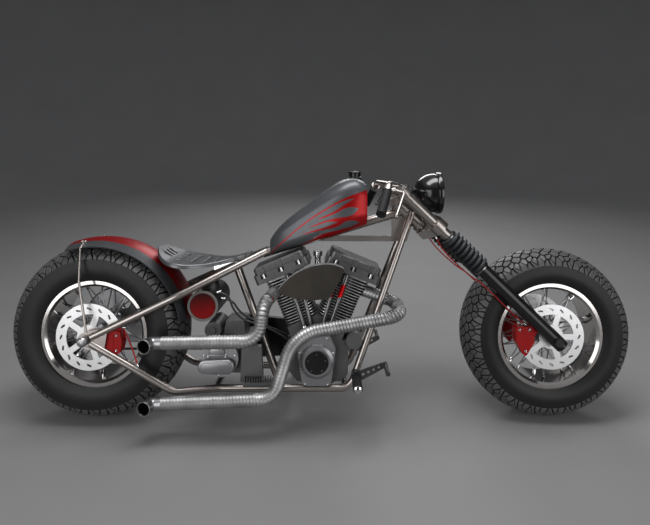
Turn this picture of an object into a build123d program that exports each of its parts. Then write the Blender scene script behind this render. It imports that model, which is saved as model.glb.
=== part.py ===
"""Rigid-frame bobber motorcycle with an air-cooled V-twin, parked on its side stand.

Millimetres. X runs forward from the rear axle, Y to the rider's left, Z up from the floor.
Every piece is drawn upright. The last section leans the machine onto its stand and writes
one STEP file for each piece.
"""

import os
from math import atan, cos, radians, sin, sqrt, tan

from build123d import *

os.makedirs("parts", exist_ok=True)

# Driving dimensions
WHEELBASE = 1748
LEAN = 9
RAKE = 46
FIT = 0.3
RUNNING = 0.5

# Wheels: tyre radius, crown radius, half widths of tyre and rim
REAR = dict(x=0, radius=342, crown=140, half=110, rim=96)
FRONT = dict(x=WHEELBASE, radius=328, crown=116, half=92, rim=78)
FLANGE = 203
BARREL = 181
for wheel in (REAR, FRONT):
    wheel["z"] = wheel["radius"] + wheel["crown"] * (1 / cos(radians(LEAN)) - 1)

# Fork frame: distances run up the legs from the front axle, set-back runs behind them
AXLE = Vector(WHEELBASE, 0, FRONT["z"])
UP = Vector(-sin(radians(RAKE)), 0, cos(radians(RAKE)))
BACK = Vector(-cos(radians(RAKE)), 0, -sin(radians(RAKE)))
SIDE = Vector(0, 1, 0)
LEG_Y = 125
SETBACK = 38
SLIDER_R = 26
LEG_R = 20.5
NECK_R = 25
STEM_R = 13

# Frame
BACKBONE_R = 18
RAIL_R = 14
CRADLE_R = 13.5
SEAT_TUBE_R = 16.5
RAIL_Y = 116
RAIL_Z = 146
DROPOUT_Y = 166
PLATE = 10

# Engine and drive
CRANK = (851, 254)
BANK = 22.5
CASE_HALF = 92
DECK = 148
HEAD_TOP = 337
FIN_HALF = 68
CLUTCH = (510, 262)
BELT_Y = (115, 137)
PRIMARY_Y = (145, 188)
EXHAUST_R = 22
EXHAUST_Y = -188
OUTLET_R = 19

pieces = {}


def fork(t, y=0.0, back=0.0):
    """A point t up the fork legs, y to the left and so far behind them."""
    return AXLE + UP * t + SIDE * y + BACK * back


def rod(start, end, radius):
    """A straight round bar from one point to another."""
    run = Vector(*end) - Vector(*start)
    with BuildPart() as bar:
        with BuildSketch(Plane(origin=start, z_dir=run)):
            Circle(radius)
        extrude(amount=run.length)
    return bar.part


def tube(points, bends, radius, bore=0.0):
    """A round bar, or a pipe with a bore, along straight runs joined by bends."""
    with BuildPart() as bar:
        with BuildLine() as run:
            FilletPolyline(*points, radius=bends)
        with BuildSketch(Plane(origin=run.line @ 0, z_dir=run.line % 0)):
            Circle(radius)
            if bore:
                Circle(bore, mode=Mode.SUBTRACT)
        sweep()
    return bar.part


def spun(outline, at, along=(0, 1, 0), facing=(1, 0, 0)):
    """A closed outline of (distance along, radius) points turned round an axis."""
    with BuildPart() as turned:
        with BuildSketch(Plane(origin=at, x_dir=along, z_dir=facing)):
            with BuildLine():
                Polyline(*outline, close=True)
            make_face()
        revolve(axis=Axis(at, along))
    return turned.part


def slab(outline, y0, y1, corner=0.0):
    """A plate with an outline of (x, z) points that fills from y0 to y1."""
    with BuildPart() as plate:
        with BuildSketch(Plane(origin=(0, y1, 0), x_dir=(1, 0, 0), z_dir=(0, -1, 0))):
            Polygon(*outline, align=None)
            if corner:
                fillet(vertices(), corner)
        extrude(amount=y1 - y0)
    return plate.part


def drum(x, z, radius, y0, y1, bore=0.0):
    """A round disc or roller across the machine, from y0 to y1."""
    with BuildPart() as roller:
        with BuildSketch(Plane(origin=(x, y1, z), x_dir=(1, 0, 0), z_dir=(0, -1, 0))):
            Circle(radius)
            if bore:
                Circle(bore, mode=Mode.SUBTRACT)
        extrude(amount=y1 - y0)
    return roller.part


def both_sides(piece):
    """A piece drawn on the left with its mirror image on the right."""
    return [piece, mirror(piece, about=Plane.XZ)]


def joined(solids, cut=()):
    """One part of several solids, with other pieces cut out of them."""
    with BuildPart() as whole:
        for solid in solids:
            add(solid)
        for tool in cut:
            add(tool, mode=Mode.SUBTRACT)
    return whole.part


# Tyres: a treaded crown, a smooth shoulder and a bead between the rim's flanges
def tyre(w):
    seat = w["rim"] - 6 - RUNNING
    widest = (w["half"], w["radius"] - 78)
    shoulder = (w["half"], w["radius"] - 56)
    edge = 45
    crown = []
    for angle in (edge, 33, 21, LEAN):
        a = radians(angle)
        crown.append((w["crown"] * sin(a), w["radius"] - w["crown"] * (1 - cos(a))))
    left = [(seat, BARREL + 7), (seat, FLANGE + RUNNING), (w["rim"] + 6, FLANGE + RUNNING)]
    left += [widest, shoulder] + crown
    right = [(-y, r) for y, r in reversed(left)]
    return spun(left + right, (w["x"], 0, w["z"]))


# Rims: deep barrels with turned-up flanges
def rim(w):
    h = w["rim"]
    left = [(h - 8, BARREL), (h, BARREL + 9), (h, FLANGE), (h - 6, FLANGE), (h - 6, BARREL + 6.5)]
    right = [(-y, r) for y, r in reversed(left)]
    return spun(left + right, (w["x"], 0, w["z"]))


# Hubs with forty crossed spokes, twenty from each flange
SPOKES = 20
SPOKE_R = 2.6
HUB_FLANGE_R = 48


def spoke_set(w, flange_y, rim_y):
    """Straight spokes whose neighbours lean opposite ways from flange to rim."""
    sweep_angle = 27
    start_r = HUB_FLANGE_R - 4
    end_r = BARREL - 1
    spokes = []
    for side in (1, -1):
        for i in range(SPOKES):
            a = radians(360 / SPOKES * i + (9 if side < 0 else 0))
            b = a + radians(sweep_angle if i % 2 else -sweep_angle)
            lift = 3.4 if i % 2 else -3.4
            start = Vector(w["x"] + start_r * cos(a), side * (flange_y + lift), w["z"] + start_r * sin(a))
            end = Vector(w["x"] + end_r * cos(b), side * (rim_y + lift), w["z"] + end_r * sin(b))
            run = end - start
            with BuildPart() as spoke:
                with BuildSketch(Plane(origin=start, z_dir=run)):
                    RegularPolygon(SPOKE_R, 6)
                extrude(amount=run.length)
            spokes.append(spoke.part)
    return spokes


def hub(w, bore, flange_y, ends):
    """A waisted hub with two spoke flanges; ends are its (right, left) faces and their radius."""
    right, left, boss = ends
    f = flange_y
    outline = [(right, bore), (right, boss), (-f - 7, boss), (-f - 7, HUB_FLANGE_R), (-f + 7, HUB_FLANGE_R)]
    outline += [(-f + 16, 31), (f - 16, 31), (f - 7, HUB_FLANGE_R), (f + 7, HUB_FLANGE_R)]
    outline += [(f + 7, boss), (left, boss), (left, bore)]
    return spun(outline, (w["x"], 0, w["z"]))


FRONT_AXLE_R = 10
REAR_AXLE_R = 12
FRONT_DISC_Y = 84
REAR_DISC_Y = -132
DISC_R = 125
DISC_HALF = 2.5

pieces["front_tyre"] = tyre(FRONT)
pieces["front_rim"] = rim(FRONT)
front_hub = hub(FRONT, FRONT_AXLE_R + RUNNING, 34, (-81, 81, 30))
pieces["front_hub"] = joined([front_hub] + spoke_set(FRONT, 34, 12))
pieces["rear_tyre"] = tyre(REAR)
pieces["rear_rim"] = rim(REAR)
rear_hub = hub(REAR, REAR_AXLE_R + RUNNING, 46, (-129, 112, 34))
pieces["rear_hub"] = joined([rear_hub] + spoke_set(REAR, 46, 18))


# Brake discs: a swept ring with slanted slots on a five-armed carrier
def disc(w, y, bore):
    with BuildPart() as plate:
        with BuildSketch(Plane(origin=(w["x"], y + DISC_HALF, w["z"]), x_dir=(1, 0, 0), z_dir=(0, -1, 0))):
            Circle(DISC_R)
            Circle(86, mode=Mode.SUBTRACT)
            with PolarLocations(66, 5):
                Rectangle(54, 22)
            Circle(46)
            Circle(bore, mode=Mode.SUBTRACT)
            with PolarLocations(DISC_R - 19, 16):
                SlotOverall(19, 7, rotation=62, mode=Mode.SUBTRACT)
        extrude(amount=2 * DISC_HALF)
    return plate.part


pieces["front_discs"] = joined(both_sides(disc(FRONT, FRONT_DISC_Y, FRONT_AXLE_R + RUNNING)))
pieces["rear_disc"] = disc(REAR, REAR_DISC_Y, REAR_AXLE_R + RUNNING)

# Rear pulley: a rim for the final belt on a drilled web
PULLEY_R = 128
with BuildPart() as rear_pulley:
    with BuildSketch(Plane(origin=(0, BELT_Y[1], REAR["z"]), x_dir=(1, 0, 0), z_dir=(0, -1, 0))):
        Circle(PULLEY_R)
        Circle(104, mode=Mode.SUBTRACT)
    extrude(amount=BELT_Y[1] - BELT_Y[0])
    with BuildSketch(Plane(origin=(0, 124, REAR["z"]), x_dir=(1, 0, 0), z_dir=(0, -1, 0))):
        Circle(105)
        Circle(REAR_AXLE_R + RUNNING, mode=Mode.SUBTRACT)
        with PolarLocations(72, 6):
            Circle(21, mode=Mode.SUBTRACT)
    extrude(amount=8)
    with BuildSketch(Plane(origin=(0, 117, REAR["z"]), x_dir=(1, 0, 0), z_dir=(0, -1, 0))):
        Circle(40)
        Circle(REAR_AXLE_R + RUNNING, mode=Mode.SUBTRACT)
    extrude(amount=5)
pieces["rear_pulley"] = rear_pulley.part

# Frame: backbone, neck and gusset in one, with the neck bored for the steering stem
NECK_T = (640, 772)
RAIL_SLOPE = 0.47


def on_rail(x, y, above=0.0):
    """A point at or above the upper rail's straight side view."""
    return (x, y, REAR["z"] + RAIL_SLOPE * x + above)


BACKBONE_REAR = Vector(*on_rail(632, 0, -3))
BACKBONE_FRONT = fork(NECK_T[1] - 40, 0, SETBACK + 7)


def on_backbone(x, above=0.0):
    """The height of the backbone's axis at x, or so far above it."""
    share = (x - BACKBONE_REAR.X) / (BACKBONE_FRONT.X - BACKBONE_REAR.X)
    return BACKBONE_REAR.Z + share * (BACKBONE_FRONT.Z - BACKBONE_REAR.Z) + above


neck_core = rod(fork(NECK_T[0] - 1, 0, SETBACK), fork(NECK_T[1] + 1, 0, SETBACK), STEM_R + FIT)
neck_outer = rod(fork(NECK_T[0], 0, SETBACK), fork(NECK_T[1], 0, SETBACK), NECK_R)
cups = []
for t in (NECK_T[0], NECK_T[1] - 12):
    cups.append(rod(fork(t, 0, SETBACK), fork(t + 12, 0, SETBACK), NECK_R + 5))
GUSSET = 328
GUSSET_LOW = BACKBONE_FRONT.Z - 120
gusset_rear = BACKBONE_FRONT.X - GUSSET
gusset_outline = [
    (gusset_rear, max(on_backbone(gusset_rear, 5), GUSSET_LOW + 26)),
    (BACKBONE_FRONT.X, BACKBONE_FRONT.Z + 10),
    (BACKBONE_FRONT.X + 42, BACKBONE_FRONT.Z - 38),
    (BACKBONE_FRONT.X + 16, GUSSET_LOW),
    (gusset_rear, GUSSET_LOW),
]
window = [
    (gusset_rear + 18, GUSSET_LOW + 22),
    (BACKBONE_FRONT.X - 44, GUSSET_LOW + 22),
    (BACKBONE_FRONT.X - 44, on_backbone(BACKBONE_FRONT.X - 44, 7)),
    (gusset_rear + 18, max(on_backbone(gusset_rear + 18, 5), GUSSET_LOW + 31)),
]
with BuildPart() as gusset:
    add(slab(gusset_outline, -5, 5))
    add(slab(window, -6, 6, corner=4), mode=Mode.SUBTRACT)
backbone = rod(BACKBONE_REAR, BACKBONE_FRONT, BACKBONE_R)
pieces["frame_backbone"] = joined([backbone, neck_outer, gusset.part] + cups, [neck_core])

# Frame: dropout plates with the axle's bore
with BuildPart() as dropout:
    with BuildSketch(Plane(origin=(0, DROPOUT_Y + PLATE / 2, 0), x_dir=(1, 0, 0), z_dir=(0, -1, 0))):
        with Locations((0, REAR["z"])):
            Circle(27)
        with Locations((74, REAR["z"] + 33)):
            Circle(9)
        with Locations((62, REAR["z"] - 36)):
            Circle(9)
        make_hull()
        with Locations((0, REAR["z"])):
            Circle(REAR_AXLE_R + FIT, mode=Mode.SUBTRACT)
    extrude(amount=PLATE)

# Frame: upper rails from the dropouts to the backbone, bowed round the rear tyre
upper_rail = tube([on_rail(22, DROPOUT_Y), on_rail(330, 150), on_rail(648, 24)], 110, RAIL_R)
upper_rails = joined(both_sides(joined([upper_rail, dropout.part])), [backbone])
pieces["upper_rails"] = upper_rails

# Frame: cradle tubes, each a downtube, lower rail and rear leg in one bent length
DOWN_FOOT = 975
DOWN_TOP = BACKBONE_FRONT + Vector(33, 24, -2)
cradle_run = [
    DOWN_TOP,
    (DOWN_FOOT, RAIL_Y, RAIL_Z),
    (480, RAIL_Y, RAIL_Z),
    (320, 150, RAIL_Z),
    (20, DROPOUT_Y, REAR["z"] - 13),
]
cradle = tube(cradle_run, [60, 120, 70], CRADLE_R)
cradles = joined(both_sides(cradle), [upper_rails, neck_outer] + cups)
pieces["cradle_tubes"] = cradles

# Frame: seat tube with its cross tubes, and the lower cross tubes that carry the engine
SEAT_TUBE_TOP = Vector(*on_rail(528, 0, -3))
cross_y = Vector(0, 66, 0)
SEAT_TUBE_FOOT = Vector(690, 0, RAIL_Z)
cross_half = RAIL_Y - 2
bars = [rod(SEAT_TUBE_TOP, SEAT_TUBE_FOOT, SEAT_TUBE_R), rod(SEAT_TUBE_TOP - cross_y, SEAT_TUBE_TOP + cross_y, 12)]
for x in (690, 955, 470):
    bars.append(rod((x, -cross_half, RAIL_Z), (x, cross_half, RAIL_Z), 12))
seat_frame = joined(bars, [upper_rails, cradles])
pieces["cross_frame"] = seat_frame


# Engine: crankcase with two decks
def along_bank(sign, out, across=0.0):
    """(x, z) at a distance out along a cylinder's axis and across it, sign +1 in front."""
    a = radians(BANK)
    return (
        CRANK[0] + sign * (out * sin(a) + across * cos(a)),
        CRANK[1] + out * cos(a) - across * sin(a),
    )


with BuildPart() as crankcase:
    with BuildSketch(Plane(origin=(0, CASE_HALF, 0), x_dir=(1, 0, 0), z_dir=(0, -1, 0))):
        with Locations(CRANK):
            Circle(114)
        for sign in (1, -1):
            corners = [along_bank(sign, d, c) for d, c in ((20, -60), (DECK, -60), (DECK, 62), (20, 62))]
            Polygon(*corners, align=None)
        Polygon((775, 162), (940, 162), (968, 190), (972, 320), (740, 320), (744, 200), align=None)
    extrude(amount=2 * CASE_HALF)
pieces["crankcase"] = crankcase.part

# Engine: finned barrels and heads, one solid for each cylinder
FIN_PITCH = 11
FIN = 3.2
BARREL_FINS = 11
HEAD_FINS = 6


def cylinder(sign):
    lean_out = sign * BANK
    base = Plane(origin=(CRANK[0], 0, CRANK[1]), x_dir=(cos(radians(lean_out)), 0, -sin(radians(lean_out))),
                 z_dir=(sin(radians(lean_out)), 0, cos(radians(lean_out))))
    with BuildPart() as jug:
        with BuildSketch(base.offset(DECK)):
            Circle(52)
        extrude(amount=HEAD_TOP - DECK)
        for i in range(BARREL_FINS + HEAD_FINS):
            head = i >= BARREL_FINS
            with BuildSketch(base.offset(DECK + 4 + FIN_PITCH * i)):
                with Locations((sign * 5, 0)):
                    RectangleRounded(150 if head else 130, 2 * FIN_HALF, 30)
            extrude(amount=FIN)
        with BuildSketch(base.offset(HEAD_TOP - 8)):
            RectangleRounded(160, 2 * FIN_HALF, 24)
        extrude(amount=8)
    return jug.part


cylinders = joined([cylinder(1), cylinder(-1)])
pieces["cylinders"] = cylinders

# Engine: two-tier rocker boxes with bolt recesses along both sides
ROCKER = (222, 176)


def rocker_box(sign):
    lean_out = sign * BANK
    base = Plane(origin=(CRANK[0], 0, CRANK[1]), x_dir=(cos(radians(lean_out)), 0, -sin(radians(lean_out))),
                 z_dir=(sin(radians(lean_out)), 0, cos(radians(lean_out))))
    with BuildPart() as box:
        with BuildSketch(base.offset(HEAD_TOP + FIT)):
            RectangleRounded(ROCKER[0], ROCKER[1], 18)
        extrude(amount=36)
        with BuildSketch(base.offset(HEAD_TOP + FIT + 36)):
            RectangleRounded(ROCKER[0] - 14, ROCKER[1] - 14, 18)
        extrude(amount=28)
        chamfer(faces().sort_by(Axis(base.origin, base.z_dir))[-1].edges(), 6)
        with BuildSketch(base.offset(HEAD_TOP + 18)):
            with GridLocations(72, ROCKER[1], 3, 2):
                RectangleRounded(24, 22, 6)
        extrude(amount=60, mode=Mode.SUBTRACT)
    return box.part


pieces["rocker_boxes"] = joined([rocker_box(1), rocker_box(-1)])

# Engine: cam chest on the right, with its round cover
cam_outline = [(797, 163), (903, 163), (921, 300), (896, 356), (806, 356), (777, 300)]
CAM_FACE = -139
DOME = 11
crank_axis = (CRANK[0], 0, CRANK[1])
boss_face = CAM_FACE - DOME
boss = spun([(CAM_FACE + 2, 0), (CAM_FACE + 2, 66), (CAM_FACE - 4, 63), (boss_face, 52), (boss_face, 0)], crank_axis)
cam_cover = joined([slab(cam_outline, CAM_FACE, -CASE_HALF - FIT, corner=22), boss])
pieces["cam_cover"] = cam_cover
points_face = boss_face - FIT
pieces["points_cover"] = spun(
    [(points_face, 0), (points_face, 43), (boss_face - 6, 43), (boss_face - 9, 39), (boss_face - 11, 0)], crank_axis
)

# Engine: pushrod tubes from the cam chest to the rocker boxes
PUSHROD_TOP = HEAD_TOP - 0.2
pushrods = []
for sign in (1, -1):
    for foot, across in ((42, -14), (16, -56)):
        head_x, head_z = along_bank(sign, PUSHROD_TOP - 4, across)
        low = Vector(CRANK[0] + sign * foot, -108, 356 + FIT)
        high = Vector(head_x, -78, head_z)
        mid = low + (high - low) * 0.52
        pushrods.append(joined([rod(low, high, 7), rod(mid, high, 9.5)]))
pieces["pushrod_tubes"] = joined(pushrods, [pieces["rocker_boxes"], cylinders, cam_cover])

# Engine: air cleaner with a flat swept cover, and the carburettor behind it
CLEANER_Y = (-186, -152)
with BuildPart() as air_cleaner:
    with BuildSketch(Plane(origin=(0, CLEANER_Y[1], 0), x_dir=(1, 0, 0), z_dir=(0, -1, 0))):
        with BuildLine():
            ThreePointArc((705, 523), (782, 595), (882, 624))
            ThreePointArc((882, 624), (922, 620), (954, 606))
            Line((954, 606), (903, 504))
            ThreePointArc((903, 504), (800, 496), (705, 523))
        make_face()
        fillet(vertices(), 6)
    extrude(amount=CLEANER_Y[1] - CLEANER_Y[0])
pieces["air_cleaner"] = air_cleaner.part
INTAKE = (851, 556)
HEAD_SIDE = -70 - FIT
manifold = [along_bank(sign, out, HEAD_SIDE) for sign, out in ((1, 276), (1, 314), (-1, 314), (-1, 276))]
carburettor = joined(
    [
        drum(*INTAKE, 27, CLEANER_Y[1] + FIT, -20),
        drum(*INTAKE, 34, -132, -84),
        slab(manifold, -30, 30),
        rod((851, 0, 560), (851, 0, 640), 12),
        rod((851, 0, 628), (851, 0, 646), 18),
    ]
)
pieces["carburettor"] = joined([carburettor], [cylinders] + pushrods)

# Engine: oil filter on its bracket
FILTER = (992, 322)
oil_filter = joined(
    [
        drum(*FILTER, 31, -112, -42),
        drum(*FILTER, 22, -42, -24),
        slab([(930, 300), (1000, 300), (1000, 344), (930, 344)], -42, -24),
    ],
    [crankcase.part, cylinders],
)
pieces["oil_filter"] = oil_filter

# Gearbox: case, top cover and starter, then the bright side cover
STARTER = (446, 348.3)
gear_case = slab([(432, 190), (600, 190), (600, 316), (432, 316)], -80, 95, corner=14)
gear_top = slab([(486, 310), (574, 310), (566, 384), (496, 384)], -58, 58, corner=3)
starter = joined([drum(*STARTER, 32, -64, 80), drum(*STARTER, 12, -72, -64)])
pieces["gearbox"] = joined([joined([gear_case, gear_top], [seat_frame]), starter])
GEAR_COVER = (484, 258)
gear_cover = joined(
    [
        drum(*GEAR_COVER, 70, -118, -80 - FIT),
        slab([(411, 214), (526, 214), (526, 260), (411, 260)], -136, -80 - FIT, corner=20),
    ]
)
pieces["gearbox_cover"] = gear_cover

# Side box below the seat tube on the right
pieces["side_box"] = slab([(560, 166), (646, 166), (640, 300), (566, 300)], -112, -80 - FIT, corner=6)

# Primary drive on the left: backing plate, two pulleys and a wide belt
ENGINE_PULLEY_R = 52
CLUTCH_R = 84


def loop_outline(a, ra, b, rb):
    """The taut loop round two circles, as a sketch on the machine's side."""
    with BuildSketch(Plane(origin=(0, 0, 0), x_dir=(1, 0, 0), z_dir=(0, -1, 0))) as outline:
        with Locations(a):
            Circle(ra)
        with Locations(b):
            Circle(rb)
        make_hull()
    return outline.sketch


def belt(a, ra, b, rb, y0, y1, thick):
    """A belt of even thickness lying round two pulleys."""
    with BuildPart() as band:
        with BuildSketch(Plane(origin=(0, y1, 0), x_dir=(1, 0, 0), z_dir=(0, -1, 0))):
            add(loop_outline(a, ra + thick, b, rb + thick))
            add(loop_outline(a, ra, b, rb), mode=Mode.SUBTRACT)
        extrude(amount=y1 - y0)
    return band.part


with BuildPart() as backing:
    with BuildSketch(Plane(origin=(0, 144, 0), x_dir=(1, 0, 0), z_dir=(0, -1, 0))):
        add(loop_outline(CRANK, 66, CLUTCH, 94))
    extrude(amount=6)
noses = [drum(*CRANK, 46, CASE_HALF + FIT, 138), drum(*CLUTCH, 24, 95 + FIT, 138)]
pieces["primary_plate"] = joined([backing.part] + noses)
SPROCKET_R = 45
pieces["drive_pulleys"] = joined(
    [
        drum(*CRANK, ENGINE_PULLEY_R, *PRIMARY_Y),
        drum(*CRANK, 20, 144 + FIT, 198),
        drum(*CLUTCH, CLUTCH_R, *PRIMARY_Y),
        drum(*CLUTCH, 62, 144 + FIT, 204),
        drum(*CLUTCH, SPROCKET_R, *BELT_Y, bore=24 + FIT),
    ]
)
primary_belt = belt(CRANK, ENGINE_PULLEY_R + FIT, CLUTCH, CLUTCH_R + FIT, 149, 185, 6)

# Final drive: the belt from the output pulley to the rear wheel
final_belt = belt(CLUTCH, SPROCKET_R + RUNNING, (0, REAR["z"]), PULLEY_R + RUNNING, 117, 135, 5)
pieces["belts"] = joined([primary_belt, final_belt])

# Oil tank: a drum across the frame with recessed red ends
OIL_TANK_R = 58
OIL_TANK_RISE = 111
OIL_TANK_GAP = 38
tyre_front = sqrt(REAR["radius"] ** 2 - OIL_TANK_RISE ** 2)
OIL_TANK = (tyre_front + OIL_TANK_GAP + OIL_TANK_R, REAR["z"] + OIL_TANK_RISE)
tank_lug = rod((OIL_TANK[0] - 4, 102, OIL_TANK[1] + 43), on_rail(OIL_TANK[0] - 16, 118, -1.5), 8)
with BuildPart() as oil_tank:
    add(drum(*OIL_TANK, OIL_TANK_R, -116, 116))
    for lug_side in both_sides(tank_lug):
        add(lug_side)
    for y0, y1 in ((-120, -108), (108, 120)):
        add(drum(*OIL_TANK, 49, y0, y1), mode=Mode.SUBTRACT)
    add(upper_rails, mode=Mode.SUBTRACT)
pieces["oil_tank"] = oil_tank.part
pieces["oil_tank_ends"] = joined(both_sides(drum(*OIL_TANK, 48.7, 108 + FIT, 113)))

# Exhausts: two pipes swept back along the right, with turned-out open tips
TIP_X = 292
front_pipe = [
    (1030, -28, 496),
    (1160, -28, 450),
    (1160, EXHAUST_Y, 438),
    (768, EXHAUST_Y, 370),
    (694, EXHAUST_Y, 135),
    (TIP_X, EXHAUST_Y, 119),
]
rear_pipe = [(690, -50, 500), (655, -166, 472), (640, EXHAUST_Y, 345), (TIP_X, EXHAUST_Y, 339)]
exhaust_cut = [cylinders, pieces["rocker_boxes"]]
exhausts = [tube(front_pipe, [50, 60, 150, 80], EXHAUST_R), tube(rear_pipe, [55, 70], EXHAUST_R)]
pieces["exhaust_pipes"] = joined(exhausts, exhaust_cut)
tips = []
for run in (front_pipe, rear_pipe):
    end = Vector(*run[-1])
    way = (end - Vector(*run[-2])).normalized()
    turn = [end + way * FIT, end + way * 38, end + way * 72 - SIDE * 26]
    tips.append(tube(turn, 30, EXHAUST_R + 2, OUTLET_R))
pieces["exhaust_tips"] = joined(tips)

# Fuel tank: a loft of rounded sections, tunnelled over the backbone
# Columns: x, depth below the backbone's axis, height above it, half width, corner radius
TANK_SECTIONS = (
    (664, 13, 47, 32, 16),
    (750, 8, 115, 76, 40),
    (880, 10, 173, 108, 55),
    (975, 7, 195, 117, 62),
    (1042, 7, 153, 98, 52),
)
with BuildPart() as tank:
    for x, depth, height, half, corner in TANK_SECTIONS:
        low, top = on_backbone(x, -depth), on_backbone(x, height)
        with BuildSketch(Plane(origin=(x, 0, (low + top) / 2), x_dir=(0, 1, 0), z_dir=(1, 0, 0))):
            RectangleRounded(2 * half, top - low, corner)
    loft()
    behind = (BACKBONE_REAR - BACKBONE_FRONT).normalized() * 40
    tunnel = rod(BACKBONE_REAR + behind, BACKBONE_FRONT, BACKBONE_R + FIT)
    add(tunnel, mode=Mode.SUBTRACT)
    add(tunnel.moved(Location((0, 0, -18))), mode=Mode.SUBTRACT)
    add(tunnel.moved(Location((0, 0, -36))), mode=Mode.SUBTRACT)
pieces["fuel_tank"] = joined([tank.part], [gusset.part])
CAP = Vector(999, 0, on_backbone(999, 185.5))
pieces["filler_cap"] = joined([rod(CAP, CAP + Vector(0, 0, 30), 23), rod(CAP, CAP + Vector(0, 0, 12), 28)],
                              [pieces["fuel_tank"]])

# Seat: a pressed pan that dips in the middle, narrows to its nose and is slotted for water
PAN = 7
SEAT_REAR = REAR["radius"] - 116
SEAT_Z = REAR["z"] + 262
# Columns: distance from the pan's rear, length, number across, spacing across, width
SEAT_SLOTS = ((44, 34, 3, 24, 9), (86, 12, 4, 22, 6), (116, 12, 4, 26, 6), (148, 12, 4, 26, 6), (182, 12, 4, 24, 6))


def seat_point(x, rise):
    """(x, z) of the pan's side view, from its rear edge and the bottom of its dip."""
    return (SEAT_REAR + x, SEAT_Z + rise)


def seat_plan(x, y):
    """(x, y) of the pan seen from above, from its rear edge."""
    return (SEAT_REAR + x, y)


with BuildPart() as seat:
    with BuildSketch(Plane(origin=(0, 160, 0), x_dir=(1, 0, 0), z_dir=(0, -1, 0))):
        with BuildLine():
            ThreePointArc(seat_point(10, 58), seat_point(32, 34), seat_point(74, 21))
            ThreePointArc(seat_point(74, 21), seat_point(184, PAN), seat_point(360, 39))
            Line(seat_point(360, 39), seat_point(362, 32))
            ThreePointArc(seat_point(362, 32), seat_point(184, 0), seat_point(72, 14))
            ThreePointArc(seat_point(72, 14), seat_point(28, 28), seat_point(3, 54))
            Line(seat_point(3, 54), seat_point(10, 58))
        make_face()
    extrude(amount=320)
    with BuildSketch(Plane.XY):
        with BuildLine():
            ThreePointArc(seat_plan(6, 70), seat_plan(0, 0), seat_plan(6, -70))
            ThreePointArc(seat_plan(6, -70), seat_plan(104, -150), seat_plan(224, -92))
            ThreePointArc(seat_plan(224, -92), seat_plan(294, -42), seat_plan(350, -30))
            ThreePointArc(seat_plan(350, -30), seat_plan(364, 0), seat_plan(350, 30))
            ThreePointArc(seat_plan(350, 30), seat_plan(294, 42), seat_plan(224, 92))
            ThreePointArc(seat_plan(224, 92), seat_plan(104, 150), seat_plan(6, 70))
        make_face()
    extrude(amount=2000, mode=Mode.INTERSECT)
    for from_rear, length, across, spacing, width in SEAT_SLOTS:
        with BuildSketch(Plane.XY):
            with Locations((SEAT_REAR + from_rear, 0)):
                with GridLocations(length, spacing, 1, across):
                    SlotOverall(length, width)
        extrude(amount=2000, mode=Mode.SUBTRACT)
pieces["seat"] = seat.part
seat_bracket = joined(
    [
        slab([seat_point(204, -12), seat_point(244, -12), seat_point(244, 5), seat_point(204, 5)], -40, 40),
        slab([seat_point(214, -32), seat_point(319, -32), seat_point(319, 6), seat_point(214, -2)], -16, 16),
    ],
    [seat.part, upper_rails, seat_frame],
)
pieces["seat_bracket"] = seat_bracket

# Rear fender: a crowned blade over the tyre from behind the top to the gearbox
FENDER_START = 108
FENDER_ARC = 100
crown_r = REAR["radius"] + 19
edge_r = REAR["radius"] - 6
edge_y = REAR["half"] + 2
with BuildPart() as fender:
    reach = Vector(cos(radians(FENDER_START)), 0, sin(radians(FENDER_START)))
    axle = (0, 0, REAR["z"])
    with BuildSketch(Plane(origin=axle, x_dir=(0, 1, 0), z_dir=SIDE.cross(reach))):
        with BuildLine():
            ThreePointArc((edge_y, edge_r), (0, crown_r), (-edge_y, edge_r))
            Line((-edge_y, edge_r), (-edge_y + 3, edge_r - 5))
            ThreePointArc((-edge_y + 3, edge_r - 5), (0, crown_r - 4), (edge_y - 3, edge_r - 5))
            Line((edge_y - 3, edge_r - 5), (edge_y, edge_r))
        make_face()
    revolve(axis=Axis(axle, (0, 1, 0)), revolution_arc=FENDER_ARC)
pieces["rear_fender"] = fender.part
strut_top = REAR["z"] + REAR["radius"] - 10
strut = tube([(8, 176, REAR["z"] + 29), (-31, 150, strut_top - 120), (-42, 116, strut_top)], 60, 4.5)
rail_angle = atan(RAIL_SLOPE)
tab_x = (REAR["radius"] - 4) * cos(rail_angle)
tab_z = REAR["z"] + (REAR["radius"] - 4) * sin(rail_angle)
tab_outline = [(tab_x + dx, tab_z + dz) for dx, dz in ((-14, -14), (20, 2), (14, 14), (-20, -2))]
tab = slab(tab_outline, edge_y - 2, edge_y + 28)
pieces["fender_struts"] = joined(both_sides(strut) + both_sides(tab), [fender.part, upper_rails])

# Rear axle with domed end caps
axle_outline = [(-205, 0), (-203, 12), (-196, 18), (-172, 18), (-172, REAR_AXLE_R), (172, REAR_AXLE_R)]
axle_outline += [(172, 18), (196, 18), (203, 12), (205, 0)]
rear_axle = spun(axle_outline, (0, 0, REAR["z"]))
pieces["rear_axle"] = rear_axle


# Brake calipers: a body with a slot over the disc's edge
def caliper(outline, y0, y1, disc_y, w):
    slot = drum(w["x"], w["z"], DISC_R + 6, disc_y - 7.5, disc_y + 7.5)
    return joined([slab(outline, y0, y1, corner=8)], [slot])


rear_shape = [(x, REAR["z"] + z) for x, z in ((84, -54), (124, -54), (131, -14), (124, 28), (84, 28))]
banjo = [(x, REAR["z"] + z) for x, z in ((106, 20), (124, 20), (124, 46), (106, 46))]
rear_arm = [(x, REAR["z"] + z) for x, z in ((-20, -22), (100, -44), (100, 18), (-20, 22))]
rear_caliper = joined(
    [
        caliper(rear_shape, -158, -114, REAR_DISC_Y, REAR),
        slab(rear_arm, -160, -150, corner=8),
        slab(banjo, -148, -139.5),
    ],
    [upper_rails, cradles, rear_axle],
)
pieces["rear_caliper"] = rear_caliper

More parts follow.
